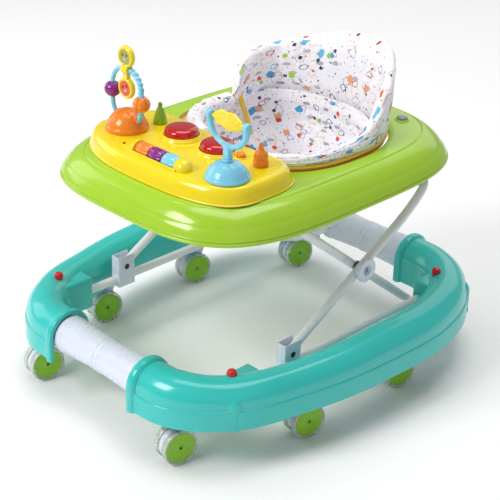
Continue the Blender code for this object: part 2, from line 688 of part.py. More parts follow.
def arch_points():
    """The arch of the bead toy: up from the dome, straight through the beads, over the top."""
    half = [(0.0200, 0.4120), (0.0275, 0.4220), (BEAD_X, 0.4330), (BEAD_X, 0.4720), (0.0280, 0.4840),
            (0.0190, 0.4925), (0.0090, 0.4955)]
    right = [(ARCH_X + x, ARCH_Y, z) for x, z in half]
    left = [(ARCH_X - x, ARCH_Y, z) for x, z in reversed(half)]
    return right + left


def build_bead_toy(tray):
    """The orange dome, the light-blue arch in it, two beads and the double-disc figure."""
    dome = turned("bead_dome", [*arc((0, TOY_Z), 0.0320, 90, 0, 5), (0, TOY_Z)], (ARCH_X, ARCH_Y, 0), steps=16)
    cut(dome, tube("arch_seat", arch_points(), 0.0034 + FIT, 1))
    hang(tray, dress(smooth(dome), ORANGE))
    hang(tray, dress(smooth(tube("bead_arch", arch_points(), 0.0034, 1)), SKY))
    for name, x, z, radius, finish in (("bead_purple", -BEAD_X, 0.4560, 0.0130, PURPLE),
                                       ("bead_orange", BEAD_X, 0.4490, 0.0135, ORANGE)):
        bore = 0.0040
        opening = math.degrees(math.asin(bore / radius))
        profile = arc((0, z), radius, 90 - opening, opening - 90, 6)
        place = (ARCH_X + x, ARCH_Y, 0)
        spin = pivot(name + "_pivot", (ARCH_X + x, ARCH_Y, z))
        hang(spin, dress(smooth(turned(name, [*profile, profile[0]], place, steps=12)), finish))

    neck = Vector((ARCH_X, ARCH_Y, 0.4955))
    figure = rod("figure", 0.0070, -0.0070, 0.0070, neck, ALONG_X, 12)
    join(figure, rod("figure_link", 0.0042, 0.4780, 0.4920, (ARCH_X, ARCH_Y, 0), steps=8))
    for name, z in (("figure_head", 0.5150), ("figure_body", 0.4660)):
        disc = [(0, 0.0045), (0.0145, 0.0045), (0.0168, 0.0020), (0.0168, -0.0020), (0.0145, -0.0045), (0, -0.0045)]
        join(figure, turned(name, disc, (ARCH_X, ARCH_Y, z), ALONG_Y, 14))
    cut(figure, rod("neck_bore", 0.0040, -0.03, 0.03, neck, ALONG_X, 8))
    hang(pivot("figure_pivot", neck), dress(smooth(figure), YELLOW))


def build_spinner(tray):
    """The light-blue base, the yoke that turns on it, and the leaf that spins between the yoke's arms."""
    x, y, z = SPINNER
    base = turned("spinner_base", [(0, 0.4262), (0.0090, 0.4258), (0.0190, 0.4220), (0.0270, 0.4150), (0.0315, 0.4070),
                                   (0.0325, TOY_Z), (0, TOY_Z)], (x, y, 0), steps=16)
    hang(tray, dress(smooth(base), SKY))
    half = [(0.0370, 0.4865), (0.0368, 0.4760), (0.0320, 0.4640), (0.0230, 0.4550), (0.0110, 0.4500)]
    arms = [(x + across, y, up) for across, up in half] + [(x - across, y, up) for across, up in reversed(half)]
    yoke = tube("spinner_yoke", arms, 0.0040, 1)
    join(yoke, rod("stem", 0.0062, 0.4265, 0.4500, (x, y, 0), steps=10))
    for side in (-1, 1):
        ball = turned("ear", arc((0, 0), 0.0062, 90, -90, 4), (x + side * 0.0370, y, z), ALONG_X, 8)
        join(yoke, ball)
    cut(yoke, rod("leaf_bore", 0.0024, -0.0355, 0.0355, SPINNER, ALONG_X, 8))
    hang(pivot("yoke_pivot", (x, y, 0.4265)), dress(smooth(yoke), SKY))
    leaf = rod("spinner_leaf", 0.0020, -0.0350, 0.0350, SPINNER, ALONG_X, 8)
    blade = turned("leaf_blade", arc((0, 0), 0.0285, 90, -90, 8), SPINNER, ALONG_X, 12)
    blade.scale = (0.46, 0.20, 1)
    join(leaf, blade)
    hang(pivot("leaf_pivot", SPINNER), dress(smooth(leaf), YELLOW))


def build_pegs(tray):
    """Two small figures that turn on their own axes."""
    cone = [(0, 0.4350), (0.0020, 0.4342), (0.0028, 0.4310), (0.0030, 0.4270), (0.0075, 0.4180), (0.0108, 0.4060),
            (0.0108, TOY_Z), (0, TOY_Z)]
    bottle = [(0, 0.4370), (0.0028, 0.4355), (0.0036, 0.4300), (0.0040, 0.4260), (0.0095, 0.4210), (0.0112, 0.4150),
              (0.0115, TOY_Z), (0, TOY_Z)]
    for name, profile, x, y, finish in (("peg_cone", cone, -0.0930, -0.1080, GREEN),
                                        ("peg_bottle", bottle, 0.1240, -0.1080, ORANGE)):
        dress(smooth(turned(name, profile, (x, y, 0), steps=12)), finish)


def main():
    tray = pivot("tray_pivot", REAR_TRAY_AXIS)
    build_base()
    build_latches()
    build_casters()
    build_legs()
    build_clevises()
    build_tray(tray)
    build_seat(tray)
    build_console(tray)
    build_buttons(tray)
    build_bead_toy(tray)
    build_spinner(tray)
    build_pegs(tray)


main()
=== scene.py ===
"""The looks of a folding baby walker: moulded base ring on casters, tube legs, tray, padded seat and toys."""

import logging
import math
from collections.abc import Callable, Sequence
from dataclasses import dataclass
from enum import Enum

import bmesh
import bpy
from mathutils import Matrix, Vector, noise


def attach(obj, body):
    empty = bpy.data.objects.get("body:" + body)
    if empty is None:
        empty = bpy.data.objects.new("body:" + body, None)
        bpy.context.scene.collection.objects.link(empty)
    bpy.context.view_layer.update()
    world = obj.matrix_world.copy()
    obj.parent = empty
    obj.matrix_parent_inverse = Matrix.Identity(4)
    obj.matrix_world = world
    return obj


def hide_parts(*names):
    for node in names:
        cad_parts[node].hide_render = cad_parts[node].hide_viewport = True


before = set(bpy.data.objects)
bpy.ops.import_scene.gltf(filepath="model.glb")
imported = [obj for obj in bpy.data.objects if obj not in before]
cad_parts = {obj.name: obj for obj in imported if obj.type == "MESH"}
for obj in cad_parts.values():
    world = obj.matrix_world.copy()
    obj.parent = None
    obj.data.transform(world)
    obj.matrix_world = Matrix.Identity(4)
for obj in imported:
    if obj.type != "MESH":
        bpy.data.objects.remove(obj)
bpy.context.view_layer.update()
LOG = logging.getLogger("walker")
UP = Vector((0, 0, 1))

Profile = Sequence[tuple[float, float]]

TOY_FOOT = 0.4016  # height of the console's top, where the toys stand


# ---------------------------------------------------------------- finishes
def linear(code: str) -> tuple[float, float, float, float]:
    """Turns an sRGB hex colour into Blender's linear colour.

    Args:
        code: Six hex digits after a hash.

    Returns:
        Red, green, blue and an alpha of one.
    """
    parts = [int(code[i : i + 2], 16) / 255 for i in (1, 3, 5)]
    red, green, blue = (c / 12.92 if c <= 0.04045 else ((c + 0.055) / 1.055) ** 2.4 for c in parts)
    return red, green, blue, 1.0


def add(tree: bpy.types.NodeTree, kind: str, inputs: dict | None = None, **settings: object) -> bpy.types.Node:
    """Adds a node with its settings, values and links.

    Args:
        tree: The node tree to add it to.
        kind: Blender's name for the node's type.
        inputs: Values or output sockets, by input name or number.
        settings: The node's own properties.

    Returns:
        The new node.
    """
    node = tree.nodes.new(kind)
    for key, value in settings.items():
        setattr(node, key, value)
    for key, value in (inputs or {}).items():
        if isinstance(value, bpy.types.NodeSocket):
            tree.links.new(value, node.inputs[key])
        else:
            node.inputs[key].default_value = value
    return node


def empty_material(name: str) -> tuple[bpy.types.Material, bpy.types.NodeTree]:
    """Makes a material with an empty node tree."""
    material = bpy.data.materials.new(name)
    material.use_nodes = True
    material.node_tree.nodes.clear()
    return material, material.node_tree


def blended(tree: bpy.types.NodeTree, share: object, first: object, second: object) -> bpy.types.NodeSocket:
    """Mixes two colours by a share from 0 to 1, and returns the mixed colour's socket."""
    return add(tree, "ShaderNodeMix", {0: share, 6: first, 7: second}, data_type="RGBA").outputs[2]


def per_metre(millimetres: float) -> float:
    """Turns a pattern's real size into a texture scale on coordinates in metres."""
    return 1000 / millimetres


@dataclass(frozen=True)
class MouldedPlastic:
    """Polypropylene or ABS from a polished steel mould: a hard gloss over very faint flow ripples.

    Attributes:
        name: The material's name.
        colour: Main colour, as sRGB hex.
        cloud: A near shade that drifts through it, where the melt cooled unevenly.
        roughness: Mean surface roughness.
        ripple_mm: Size of the flow ripples.
        glow: Share of light that enters the plastic and comes out nearby.
        coat: A polished skin's strength.
        peel: Depth of the fine orange peel.
    """

    name: str
    colour: str
    cloud: str
    roughness: float = 0.2
    ripple_mm: float = 45.0
    glow: float = 0.08
    coat: float = 0.25
    peel: float = 1.0

    def build(self) -> bpy.types.Material:
        """Makes the material.

        Returns:
            The plastic, patterned on Object coordinates.
        """
        material, tree = empty_material(self.name)
        place = add(tree, "ShaderNodeTexCoord").outputs["Object"]
        flow = add(tree, "ShaderNodeTexNoise", {"Vector": place, "Scale": per_metre(self.ripple_mm), "Detail": 3.0})
        wear = add(tree, "ShaderNodeTexNoise", {"Vector": place, "Scale": per_metre(7), "Detail": 5.0,
                                                "Roughness": 0.65})
        colour = blended(tree, flow.outputs["Fac"], linear(self.colour), linear(self.cloud))
        rough = add(tree, "ShaderNodeMapRange", {"Value": wear.outputs["Fac"], "From Min": 0.35, "From Max": 0.75,
                                                 "To Min": self.roughness * 0.85, "To Max": self.roughness * 1.35})
        # orange peel of the mould's polish, about 2 mm across and a few microns deep, drawn a little deeper to show
        peel = add(tree, "ShaderNodeTexNoise", {"Vector": place, "Scale": per_metre(2.2), "Detail": 2.0})
        fine = add(tree, "ShaderNodeMath", {0: peel.outputs["Fac"], 1: self.peel}, operation="MULTIPLY")
        height = add(tree, "ShaderNodeMath", {0: flow.outputs["Fac"], 1: 12.0, 2: fine.outputs[0]},
                     operation="MULTIPLY_ADD")
        bump = add(tree, "ShaderNodeBump", {"Height": height.outputs[0], "Strength": 0.04, "Distance": 0.0003})
        shader = add(tree, "ShaderNodeBsdfPrincipled", {
            "Base Color": colour, "Roughness": rough.outputs[0], "IOR": 1.5, "Metallic": 0.0,
            "Subsurface Weight": self.glow, "Subsurface Radius": (0.004, 0.004, 0.004), "Subsurface Scale": 1.0,
            "Coat Weight": self.coat, "Coat Roughness": 0.06, "Normal": bump.outputs[0]})
        add(tree, "ShaderNodeOutputMaterial", {"Surface": shader.outputs[0]})
        return material


@dataclass(frozen=True)
class ClearPlastic:
    """Tinted acrylic or soft PVC that light passes through, with a few haze streaks from moulding.

    Attributes:
        name: The material's name.
        colour: Tint, as sRGB hex.
        deep: Tint where the wall is thick, as sRGB hex.
        clear: Share of light that passes through.
        roughness: Surface roughness.
    """

    name: str
    colour: str
    deep: str
    clear: float
    roughness: float

    def build(self) -> bpy.types.Material:
        """Makes the material.

        Returns:
            The clear plastic.
        """
        material, tree = empty_material(self.name)
        place = add(tree, "ShaderNodeTexCoord").outputs["Object"]
        haze = add(tree, "ShaderNodeTexNoise", {"Vector": place, "Scale": per_metre(12), "Detail": 4.0})
        edge = add(tree, "ShaderNodeLayerWeight", {"Blend": 0.35})
        colour = blended(tree, edge.outputs["Facing"], linear(self.colour), linear(self.deep))
        rough = add(tree, "ShaderNodeMapRange", {"Value": haze.outputs["Fac"], "To Min": self.roughness * 0.6,
                                                 "To Max": self.roughness * 1.5})
        bump = add(tree, "ShaderNodeBump", {"Height": haze.outputs["Fac"], "Strength": 0.12, "Distance": 0.0006})
        shader = add(tree, "ShaderNodeBsdfPrincipled", {
            "Base Color": colour, "Roughness": rough.outputs[0], "IOR": 1.49, "Metallic": 0.0,
            "Transmission Weight": self.clear, "Coat Weight": 0.6, "Coat Roughness": 0.04,
            "Normal": bump.outputs[0]})
        add(tree, "ShaderNodeOutputMaterial", {"Surface": shader.outputs[0]})
        return material


@dataclass(frozen=True)
class PaintedSteel:
    """White powder coat on steel tube: an even satin gloss with a fine orange peel and faint dust.

    Attributes:
        name: The material's name.
        colour: Paint colour, as sRGB hex.
        dust: Colour of the dust and rubbed spots.
    """

    name: str
    colour: str
    dust: str

    def build(self) -> bpy.types.Material:
        """Makes the material.

        Returns:
            The painted steel.
        """
        material, tree = empty_material(self.name)
        place = add(tree, "ShaderNodeTexCoord").outputs["Object"]
        peel = add(tree, "ShaderNodeTexNoise", {"Vector": place, "Scale": per_metre(1.8), "Detail": 2.0})
        rubbed = add(tree, "ShaderNodeTexNoise", {"Vector": place, "Scale": per_metre(30), "Detail": 6.0})
        spots = add(tree, "ShaderNodeMapRange", {"Value": rubbed.outputs["Fac"], "From Min": 0.55, "From Max": 0.8,
                                                 "To Max": 0.7})
        colour = blended(tree, spots.outputs[0], linear(self.colour), linear(self.dust))
        rough = add(tree, "ShaderNodeMapRange", {"Value": rubbed.outputs["Fac"], "To Min": 0.2, "To Max": 0.42})
        bump = add(tree, "ShaderNodeBump", {"Height": peel.outputs["Fac"], "Strength": 0.15, "Distance": 0.0003})
        shader = add(tree, "ShaderNodeBsdfPrincipled", {
            "Base Color": colour, "Roughness": rough.outputs[0], "IOR": 1.5, "Metallic": 0.0,
            "Coat Weight": 0.2, "Coat Roughness": 0.1, "Normal": bump.outputs[0]})
        add(tree, "ShaderNodeOutputMaterial", {"Surface": shader.outputs[0]})
        return material


@dataclass(frozen=True)
class PlatedSteel:
    """Zinc-plated steel of rivets and bolts: grey metal, brushed by handling.

    Attributes:
        name: The material's name.
        colour: Metal tint, as sRGB hex.
    """

    name: str
    colour: str

    def build(self) -> bpy.types.Material:
        """Makes the material.

        Returns:
            The plated steel.
        """
        material, tree = empty_material(self.name)
        place = add(tree, "ShaderNodeTexCoord").outputs["Object"]
        grain = add(tree, "ShaderNodeTexNoise", {"Vector": place, "Scale": per_metre(1.5), "Detail": 6.0})
        rough = add(tree, "ShaderNodeMapRange", {"Value": grain.outputs["Fac"], "To Min": 0.22, "To Max": 0.5})
        colour = blended(tree, grain.outputs["Fac"], linear(self.colour), linear("#8D9095"))
        bump = add(tree, "ShaderNodeBump", {"Height": grain.outputs["Fac"], "Strength": 0.1, "Distance": 0.0003})
        shader = add(tree, "ShaderNodeBsdfPrincipled", {
            "Base Color": colour, "Roughness": rough.outputs[0], "Metallic": 1.0, "Normal": bump.outputs[0]})
        add(tree, "ShaderNodeOutputMaterial", {"Surface": shader.outputs[0]})
        return material


class Mark(Enum):
    """The shapes that the cloth's print repeats."""

    DOT = "EUCLIDEAN"
    DIAMOND = "MANHATTAN"
    SQUARE = "CHEBYCHEV"


@dataclass(frozen=True)
class PrintLayer:
    """One scattered motif of the printed cloth.

    Attributes:
        mark: The motif's shape.
        spacing_mm: Mean distance between two of them.
        size_mm: Distance from a motif's middle to its edge.
        line_mm: Width of its drawn line, or zero where it is filled.
        stretch: How much longer it is than wide.
        turn: How far the layer is turned, in degrees.
        share: Share of the places that hold one.
        wobble_mm: How far its edge wanders from the plain shape.
        colours: The colours it may take.
    """

    mark: Mark
    spacing_mm: float
    size_mm: float
    line_mm: float
    stretch: float
    turn: float
    share: float
    wobble_mm: float
    colours: tuple[str, ...]


@dataclass(frozen=True)
class PrintedCloth:
    """Plain-woven polyester with a small many-coloured doodle print, matt with a soft sheen.

    Attributes:
        name: The material's name.
        ground: Colour of the unprinted cloth.
        layers: The scattered motifs, the first under the others.
    """

    name: str
    ground: str
    layers: tuple[PrintLayer, ...] = ()

    def printed(self, tree: bpy.types.NodeTree, place: bpy.types.NodeSocket, layer: PrintLayer, under: object,
                number: int) -> bpy.types.NodeSocket:
        """Prints one layer over a colour.

        Args:
            tree: The node tree.
            place: The cloth's own coordinates in metres.
            layer: The motif to scatter.
            under: The colour below it.
            number: The layer's number, which shifts its pattern.

        Returns:
            The colour with this layer on it.
        """
        wander = add(tree, "ShaderNodeTexNoise", {"Vector": place, "Scale": per_metre(layer.size_mm * 1.6)})
        drift = add(tree, "ShaderNodeVectorMath", {0: wander.outputs["Color"], 1: (0.5, 0.5, 0.5)},
                    operation="SUBTRACT")
        moved = add(tree, "ShaderNodeVectorMath", {0: drift.outputs[0], 1: (layer.wobble_mm * 0.004,) * 3, 2: place},
                    operation="MULTIPLY_ADD")
        laid = add(tree, "ShaderNodeMapping", {"Vector": moved.outputs[0],
                                               "Location": (0.137 * number, 0.219 * number, 0),
                                               "Rotation": (0, 0, math.radians(layer.turn)),
                                               "Scale": (1, layer.stretch, 1)})
        cells = add(tree, "ShaderNodeTexVoronoi", {"Vector": laid.outputs[0], "Scale": per_metre(layer.spacing_mm),
                                                   "Randomness": 0.85},
                    voronoi_dimensions="2D", distance=layer.mark.value)
        reach = layer.size_mm / layer.spacing_mm
        if layer.line_mm:
            apart = add(tree, "ShaderNodeMath", {0: cells.outputs["Distance"], 1: reach}, operation="SUBTRACT")
            size = add(tree, "ShaderNodeMath", {0: apart.outputs[0]}, operation="ABSOLUTE").outputs[0]
            reach = layer.line_mm / layer.spacing_mm / 2
        else:
            size = cells.outputs["Distance"]
        inside = add(tree, "ShaderNodeMath", {0: size, 1: reach}, operation="LESS_THAN")
        chance = add(tree, "ShaderNodeSeparateColor", {0: cells.outputs["Color"]})
        present = add(tree, "ShaderNodeMath", {0: chance.outputs[0], 1: layer.share}, operation="LESS_THAN")
        mask = add(tree, "ShaderNodeMath", {0: inside.outputs[0], 1: present.outputs[0]}, operation="MULTIPLY")
        ramp = add(tree, "ShaderNodeValToRGB", {0: chance.outputs[1]})
        ramp.color_ramp.interpolation = "CONSTANT"
        stops = ramp.color_ramp.elements
        while len(stops) < len(layer.colours):
            stops.new(1.0)
        for i, code in enumerate(layer.colours):
            stops[i].position = i / len(layer.colours)
            stops[i].color = linear(code)
        return blended(tree, mask.outputs[0], under, ramp.outputs[0])

    def build(self) -> bpy.types.Material:
        """Makes the material.

        Returns:
            The cloth, patterned on the piece's own UV map in metres.
        """
        material, tree = empty_material(self.name)
        place = add(tree, "ShaderNodeUVMap", uv_map="cloth").outputs[0]
        colour: object = linear(self.ground)
        for number, layer in enumerate(self.layers, 1):
            colour = self.printed(tree, place, layer, colour, number)
        # the thread spacing is about 0.3 mm; drawn at 1.1 mm so that the weave shows
        warp = add(tree, "ShaderNodeTexWave", {"Vector": place, "Scale": per_metre(1.1) / 20}, bands_direction="X")
        weft = add(tree, "ShaderNodeTexWave", {"Vector": place, "Scale": per_metre(1.1) / 20}, bands_direction="Y")
        weave = add(tree, "ShaderNodeMath", {0: warp.outputs["Fac"], 1: weft.outputs["Fac"]}, operation="MULTIPLY")
        crumple = add(tree, "ShaderNodeTexNoise", {"Vector": place, "Scale": per_metre(35), "Detail": 3.0})
        height = add(tree, "ShaderNodeMath", {0: crumple.outputs["Fac"], 1: 14.0, 2: weave.outputs[0]},
                     operation="MULTIPLY_ADD")
        bump = add(tree, "ShaderNodeBump", {"Height": height.outputs[0], "Strength": 0.35, "Distance": 0.0005})
        shader = add(tree, "ShaderNodeBsdfPrincipled", {
            "Base Color": colour, "Roughness": 0.88, "IOR": 1.45, "Metallic": 0.0, "Sheen Weight": 0.25,
            "Sheen Roughness": 0.5, "Normal": bump.outputs[0]})
        add(tree, "ShaderNodeOutputMaterial", {"Surface": shader.outputs[0]})
        return material


INK = ("#27264D", "#B5482E", "#E39A6A", "#4C9FD6", "#8CC63A")
DOODLES = (
    PrintLayer(Mark.SQUARE, 38, 9.5, 1.3, 1.3, 17, 0.55, 3.0, ("#F3D9A8", "#F2C3A4", "#E9D58F", "#E8B79B")),
    PrintLayer(Mark.DOT, 30, 7.0, 1.2, 1.0, 40, 0.5, 4.5, ("#F5CF9E", "#9A98A8", "#F0B184")),
    PrintLayer(Mark.DOT, 46, 7.2, 0, 2.3, 100, 0.5, 0.6, ("#B9B7C2", "#A9A8B4")),
    PrintLayer(Mark.SQUARE, 42, 6.2, 0, 1.2, 63, 0.42, 2.6, ("#4C9FD6", "#E7A57C", "#6DB8E6", "#E7A57C")),
    PrintLayer(Mark.DOT, 44, 4.8, 0, 1.1, 12, 0.42, 2.4, ("#A3CF38", "#C2472C", "#8CC63A", "#D9552F")),
    PrintLayer(Mark.DOT, 40, 6.5, 1.7, 1.5, 130, 0.32, 2.2, ("#C2472C", "#2E2D5A", "#4C9FD6")),
    PrintLayer(Mark.DIAMOND, 36, 4.2, 0, 1.0, 25, 0.4, 0.5, ("#27264D", "#2E2D5A", "#3A3863")),
    PrintLayer(Mark.DOT, 11, 0.95, 0, 1.0, 0, 0.62, 0.0, INK),
    PrintLayer(Mark.DOT, 17, 1.6, 0, 1.0, 51, 0.4, 0.0, INK),
)


class Finishes:
    """Every finish of the walker, built once."""

    def __init__(self) -> None:
        """Builds the materials."""
        self.teal = MouldedPlastic("teal polypropylene", "#38CBC5", "#2EC0BA", 0.2, 70).build()
        self.white = MouldedPlastic("white polypropylene", "#D9DFF0", "#DFE4F3", 0.28, 55, 0.0, 0.25, 0.15).build()
        self.lime = MouldedPlastic("lime polypropylene", "#9DC828", "#A8D034", 0.19, 90).build()
        self.yellow = MouldedPlastic("yellow ABS", "#F3DD1E", "#F0D414", 0.16, 60, 0.1, 0.4).build()
        self.orange = MouldedPlastic("orange ABS", "#F28A1E", "#EE7F17", 0.2, 30).build()
        self.purple = MouldedPlastic("purple ABS", "#8B1C86", "#7A1675", 0.2, 30).build()
        self.sky = MouldedPlastic("light blue ABS", "#86D3EA", "#7CC9E4", 0.22, 30, 0.12).build()
        self.green = MouldedPlastic("leaf green polypropylene", "#8FCB14", "#84C012", 0.25, 30).build()
        self.peg_green = MouldedPlastic("green ABS", "#8DBB12", "#7FAE10", 0.24, 30).build()
        self.knob_red = MouldedPlastic("red ABS", "#D81624", "#C8121F", 0.18, 20).build()
        # black for real black parts, and also the painted shade of the hub screws' cross recesses and of the console's
        # small hole
        self.dark = MouldedPlastic("black ABS and painted shade", "#1B1C1E", "#242527", 0.35, 20, 0.0, 0.0).build()
        self.grey = MouldedPlastic("grey ABS", "#9A9CA6", "#8E909A", 0.35, 20, 0.0, 0.1).build()
        self.olive = MouldedPlastic("olive print", "#A9A64A", "#9C9A42", 0.4, 12, 0.0, 0.1).build()
        self.flame = MouldedPlastic("orange print", "#E8542A", "#DC4C24", 0.4, 12, 0.0, 0.1).build()
        self.red = ClearPlastic("clear red acrylic", "#D90A18", "#A00410", 0.22, 0.04).build()
        self.tyre = ClearPlastic("clear PVC", "#F4FAF5", "#DCE8DF", 0.62, 0.28).build()
        self.paint = PaintedSteel("white powder coat", "#ECEDF2", "#D9DAE0").build()
        self.steel = PlatedSteel("zinc-plated steel", "#B9BCC2").build()
        self.cloth = PrintedCloth("printed polyester", "#F4F3FB", DOODLES).build()
        self.binding = PrintedCloth("yellow binding tape", "#E9BE2C").build()


# ---------------------------------------------------------------- making meshes
def present(name: str, bm: bmesh.types.BMesh, finish: bpy.types.Material, body: str, slot: str, *nodes: str,
            crease: float = 38, finishes: Sequence[bpy.types.Material] = ()) -> bpy.types.Object:
    """Turns a finished bmesh into a piece that rides on a body.

    Args:
        name: The piece's name.
        bm: Its mesh, which is freed.
        finish: Its material.
        body: The body that it moves with.
        slot: The record's material slot; not used.
        nodes: The solids that it stands for.
        crease: Angle in degrees past which an edge stays sharp.
        finishes: Further materials, for faces whose material index is above zero.

    Returns:
        The piece.
    """
    mesh = bpy.data.meshes.new(name)
    bm.to_mesh(mesh)
    bm.free()
    for material in (finish, *finishes):
        mesh.materials.append(material)
    mesh.shade_smooth()
    mesh.set_sharp_from_angle(angle=math.radians(crease))
    piece = bpy.data.objects.new(name, mesh)
    bpy.context.scene.collection.objects.link(piece)
    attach(piece, body)
    if nodes:
        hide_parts(*nodes)
    LOG.info("%s: %d faces on %s", name, len(mesh.polygons), body)
    return piece


def moved(bm: bmesh.types.BMesh, matrix: Matrix) -> bmesh.types.BMesh:
    """Transforms a whole bmesh, and turns its faces back out if the matrix mirrors it."""
    bmesh.ops.transform(bm, matrix=matrix, verts=bm.verts)
    if matrix.determinant() < 0:
        bmesh.ops.reverse_faces(bm, faces=bm.faces)
    return bm


def mirrored(bm: bmesh.types.BMesh) -> bmesh.types.BMesh:
    """A copy of a bmesh, mirrored left to right."""
    return moved(bm.copy(), Matrix.Diagonal((-1, 1, 1, 1)))


def merged(*parts: bmesh.types.BMesh) -> bmesh.types.BMesh:
    """One bmesh that holds the faces of several, which are freed."""
    whole = bmesh.new()
    for part in parts:
        mesh = bpy.data.meshes.new("part")
        part.to_mesh(mesh)
        part.free()
        whole.from_mesh(mesh)
        bpy.data.meshes.remove(mesh)
    return whole


def painted(bm: bmesh.types.BMesh, index: int) -> bmesh.types.BMesh:
    """Gives every face of a bmesh one material index."""
    for face in bm.faces:
        face.material_index = index
    return bm


def facing_out(bm: bmesh.types.BMesh) -> bmesh.types.BMesh:
    """Merges doubled points and turns the faces of a closed shape out."""
    bmesh.ops.remove_doubles(bm, verts=bm.verts, dist=2e-6)
    bmesh.ops.recalc_face_normals(bm, faces=bm.faces)
    return bm


def spun(profile: Profile, place: Matrix, steps: int = 48) -> bmesh.types.BMesh:
    """A turned shape.

    Args:
        profile: Its (radius, height) outline about Z.
        place: Where it goes.
        steps: Segments of the full turn.

    Returns:
        The closed shape.
    """
    bm = bmesh.new()
    points = [bm.verts.new((radius, 0, height)) for radius, height in profile]
    lines = [bm.edges.new(pair) for pair in zip(points, points[1:])]
    bmesh.ops.spin(bm, geom=[*points, *lines], cent=(0, 0, 0), axis=(0, 0, 1), dvec=(0, 0, 0),
                   angle=math.tau, steps=steps, use_merge=True)
    return moved(facing_out(bm), place)


def quarter_round(radius: float, height: float, centre: float, turns: Sequence[int]) -> list[tuple[float, float]]:
    """Points of an arc in (across, up), at the given angles in degrees above the level of its centre."""
    return [(radius * math.cos(math.radians(a)), centre + height * math.sin(math.radians(a))) for a in turns]


def rounded(corners: Profile, radius: float, steps: int = 4) -> list[tuple[float, float]]:
    """An outline whose inner corners are rounded.

    Args:
        corners: The (across, up) points.
        radius: Largest corner radius.
        steps: Points of each corner, less one.

    Returns:
        The outline with each corner replaced by a short curve.
    """
    out = [Vector(corners[0])]
    for before, corner, after in zip(corners, corners[1:], corners[2:]):
        a, b, c = Vector(before), Vector(corner), Vector(after)
        reach = min(radius, (a - b).length * 0.48, (c - b).length * 0.48)
        start, end = b + (a - b).normalized() * reach, b + (c - b).normalized() * reach
        for i in range(steps + 1):
            t = i / steps
            out.append(start * (1 - t) ** 2 + b * 2 * t * (1 - t) + end * t * t)
    out.append(Vector(corners[-1]))
    return [(p.x, p.y) for p in out]


def along(axis: str, x: float, y: float, z: float) -> Matrix:
    """A place whose Z axis is turned along +X, +Y, -Y or +Z of the walker."""
    turn = {"X": Matrix.Rotation(math.pi / 2, 4, "Y"), "Y": Matrix.Rotation(-math.pi / 2, 4, "X"),
            "-Y": Matrix.Rotation(math.pi / 2, 4, "X"), "Z": Matrix.Identity(4)}[axis]
    return Matrix.Translation((x, y, z)) @ turn


def bent(columns: int, rows: int, shape: Callable[[float, float], Vector],
         cloth: tuple[float, float] | None = None) -> bmesh.types.BMesh:
    """A flat grid bent into a shape, with its meeting edges merged.

    Args:
        columns: Faces along the first direction.
        rows: Faces along the second.
        shape: Where the point at shares (s, t) of the grid goes.
        cloth: The grid's flat width and length in metres, where it needs a UV map.

    Returns:
        The bent grid.
    """
    bm = bmesh.new()
    bmesh.ops.create_grid(bm, x_segments=columns, y_segments=rows, size=0.5)
    if cloth:
        uv = bm.loops.layers.uv.new("cloth")
        for face in bm.faces:
            for loop in face.loops:
                loop[uv].uv = ((loop.vert.co.x + 0.5) * cloth[0], (loop.vert.co.y + 0.5) * cloth[1])
    for point in bm.verts:
        point.co = shape(round((point.co.x + 0.5) * columns) / columns, round((point.co.y + 0.5) * rows) / rows)
    bmesh.ops.remove_doubles(bm, verts=bm.verts, dist=2e-6)
    bmesh.ops.dissolve_degenerate(bm, edges=bm.edges, dist=1e-6)
    return bm


def oriented(bm: bmesh.types.BMesh, towards: Callable[[Vector], Vector]) -> bmesh.types.BMesh:
    """Turns an open surface over if most of its faces don't point the way that towards gives at their middles."""
    agree = sum(face.normal.dot(towards(face.calc_center_median())) * face.calc_area() for face in bm.faces)
    if agree < 0:
        bmesh.ops.reverse_faces(bm, faces=bm.faces)
    return bm


def frames_along(points: Sequence[Vector], closed: bool = False) -> list[Matrix]:
    """Places along a line that turn no more than it does, each with Z along the line."""
    count = len(points)
    frames = []
    side = None
    for i, point in enumerate(points):
        before = points[i - 1] if i or closed else point
        after = points[(i + 1) % count] if i + 1 < count or closed else point
        ahead = (after - before).normalized()
        if side is None:
            side = ahead.orthogonal().normalized()
        side = (side - ahead * side.dot(ahead)).normalized()
        third = ahead.cross(side)
        frames.append(Matrix.Translation(point) @ Matrix((side, third, ahead)).transposed().to_4x4())
    return frames


def curved(corners: Sequence[Vector], radius: float, step: float = 0.004) -> list[Vector]:
    """A line with rounded corners.

    Args:
        corners: The points that it joins.
        radius: How far from each corner its curve starts.
        step: Spacing of the curve's points.

    Returns:
        The points of the line.
    """
    out = [corners[0]]
    for a, b, c in zip(corners, corners[1:], corners[2:]):
        reach = min(radius, (a - b).length * 0.49, (c - b).length * 0.49)
        start, end = b + (a - b).normalized() * reach, b + (c - b).normalized() * reach
        count = max(3, round(reach * 1.6 / step))
        for i in range(count + 1):
            t = i / count
            out.append(start * (1 - t) ** 2 + b * 2 * t * (1 - t) + end * t * t)
    out.append(corners[-1])
    return out


def piped(points: Sequence[Vector], radius: Callable[[float, float], float], sides: int = 20) -> bmesh.types.BMesh:
    """A closed rod along a line, with rounded-off ends.

    Args:
        points: The line.
        radius: The radius at shares (along the line, round the rod).
        sides: Segments round it.

    Returns:
        The rod.
    """
    frames = frames_along(points)
    last = len(points) - 1

    def shape(s: float, t: float) -> Vector:
        turn = s * math.tau
        station = min(last, max(0, round(t * (last + 4)) - 2))
        shrink = {0: 0.0, 1: 0.75}.get(min(round(t * (last + 4)), round((1 - t) * (last + 4))), 1.0)
        size = radius(station / last, s) * shrink
        return frames[station] @ Vector((math.cos(turn) * size, math.sin(turn) * size, 0))

    return facing_out(bent(sides, last + 4, shape))


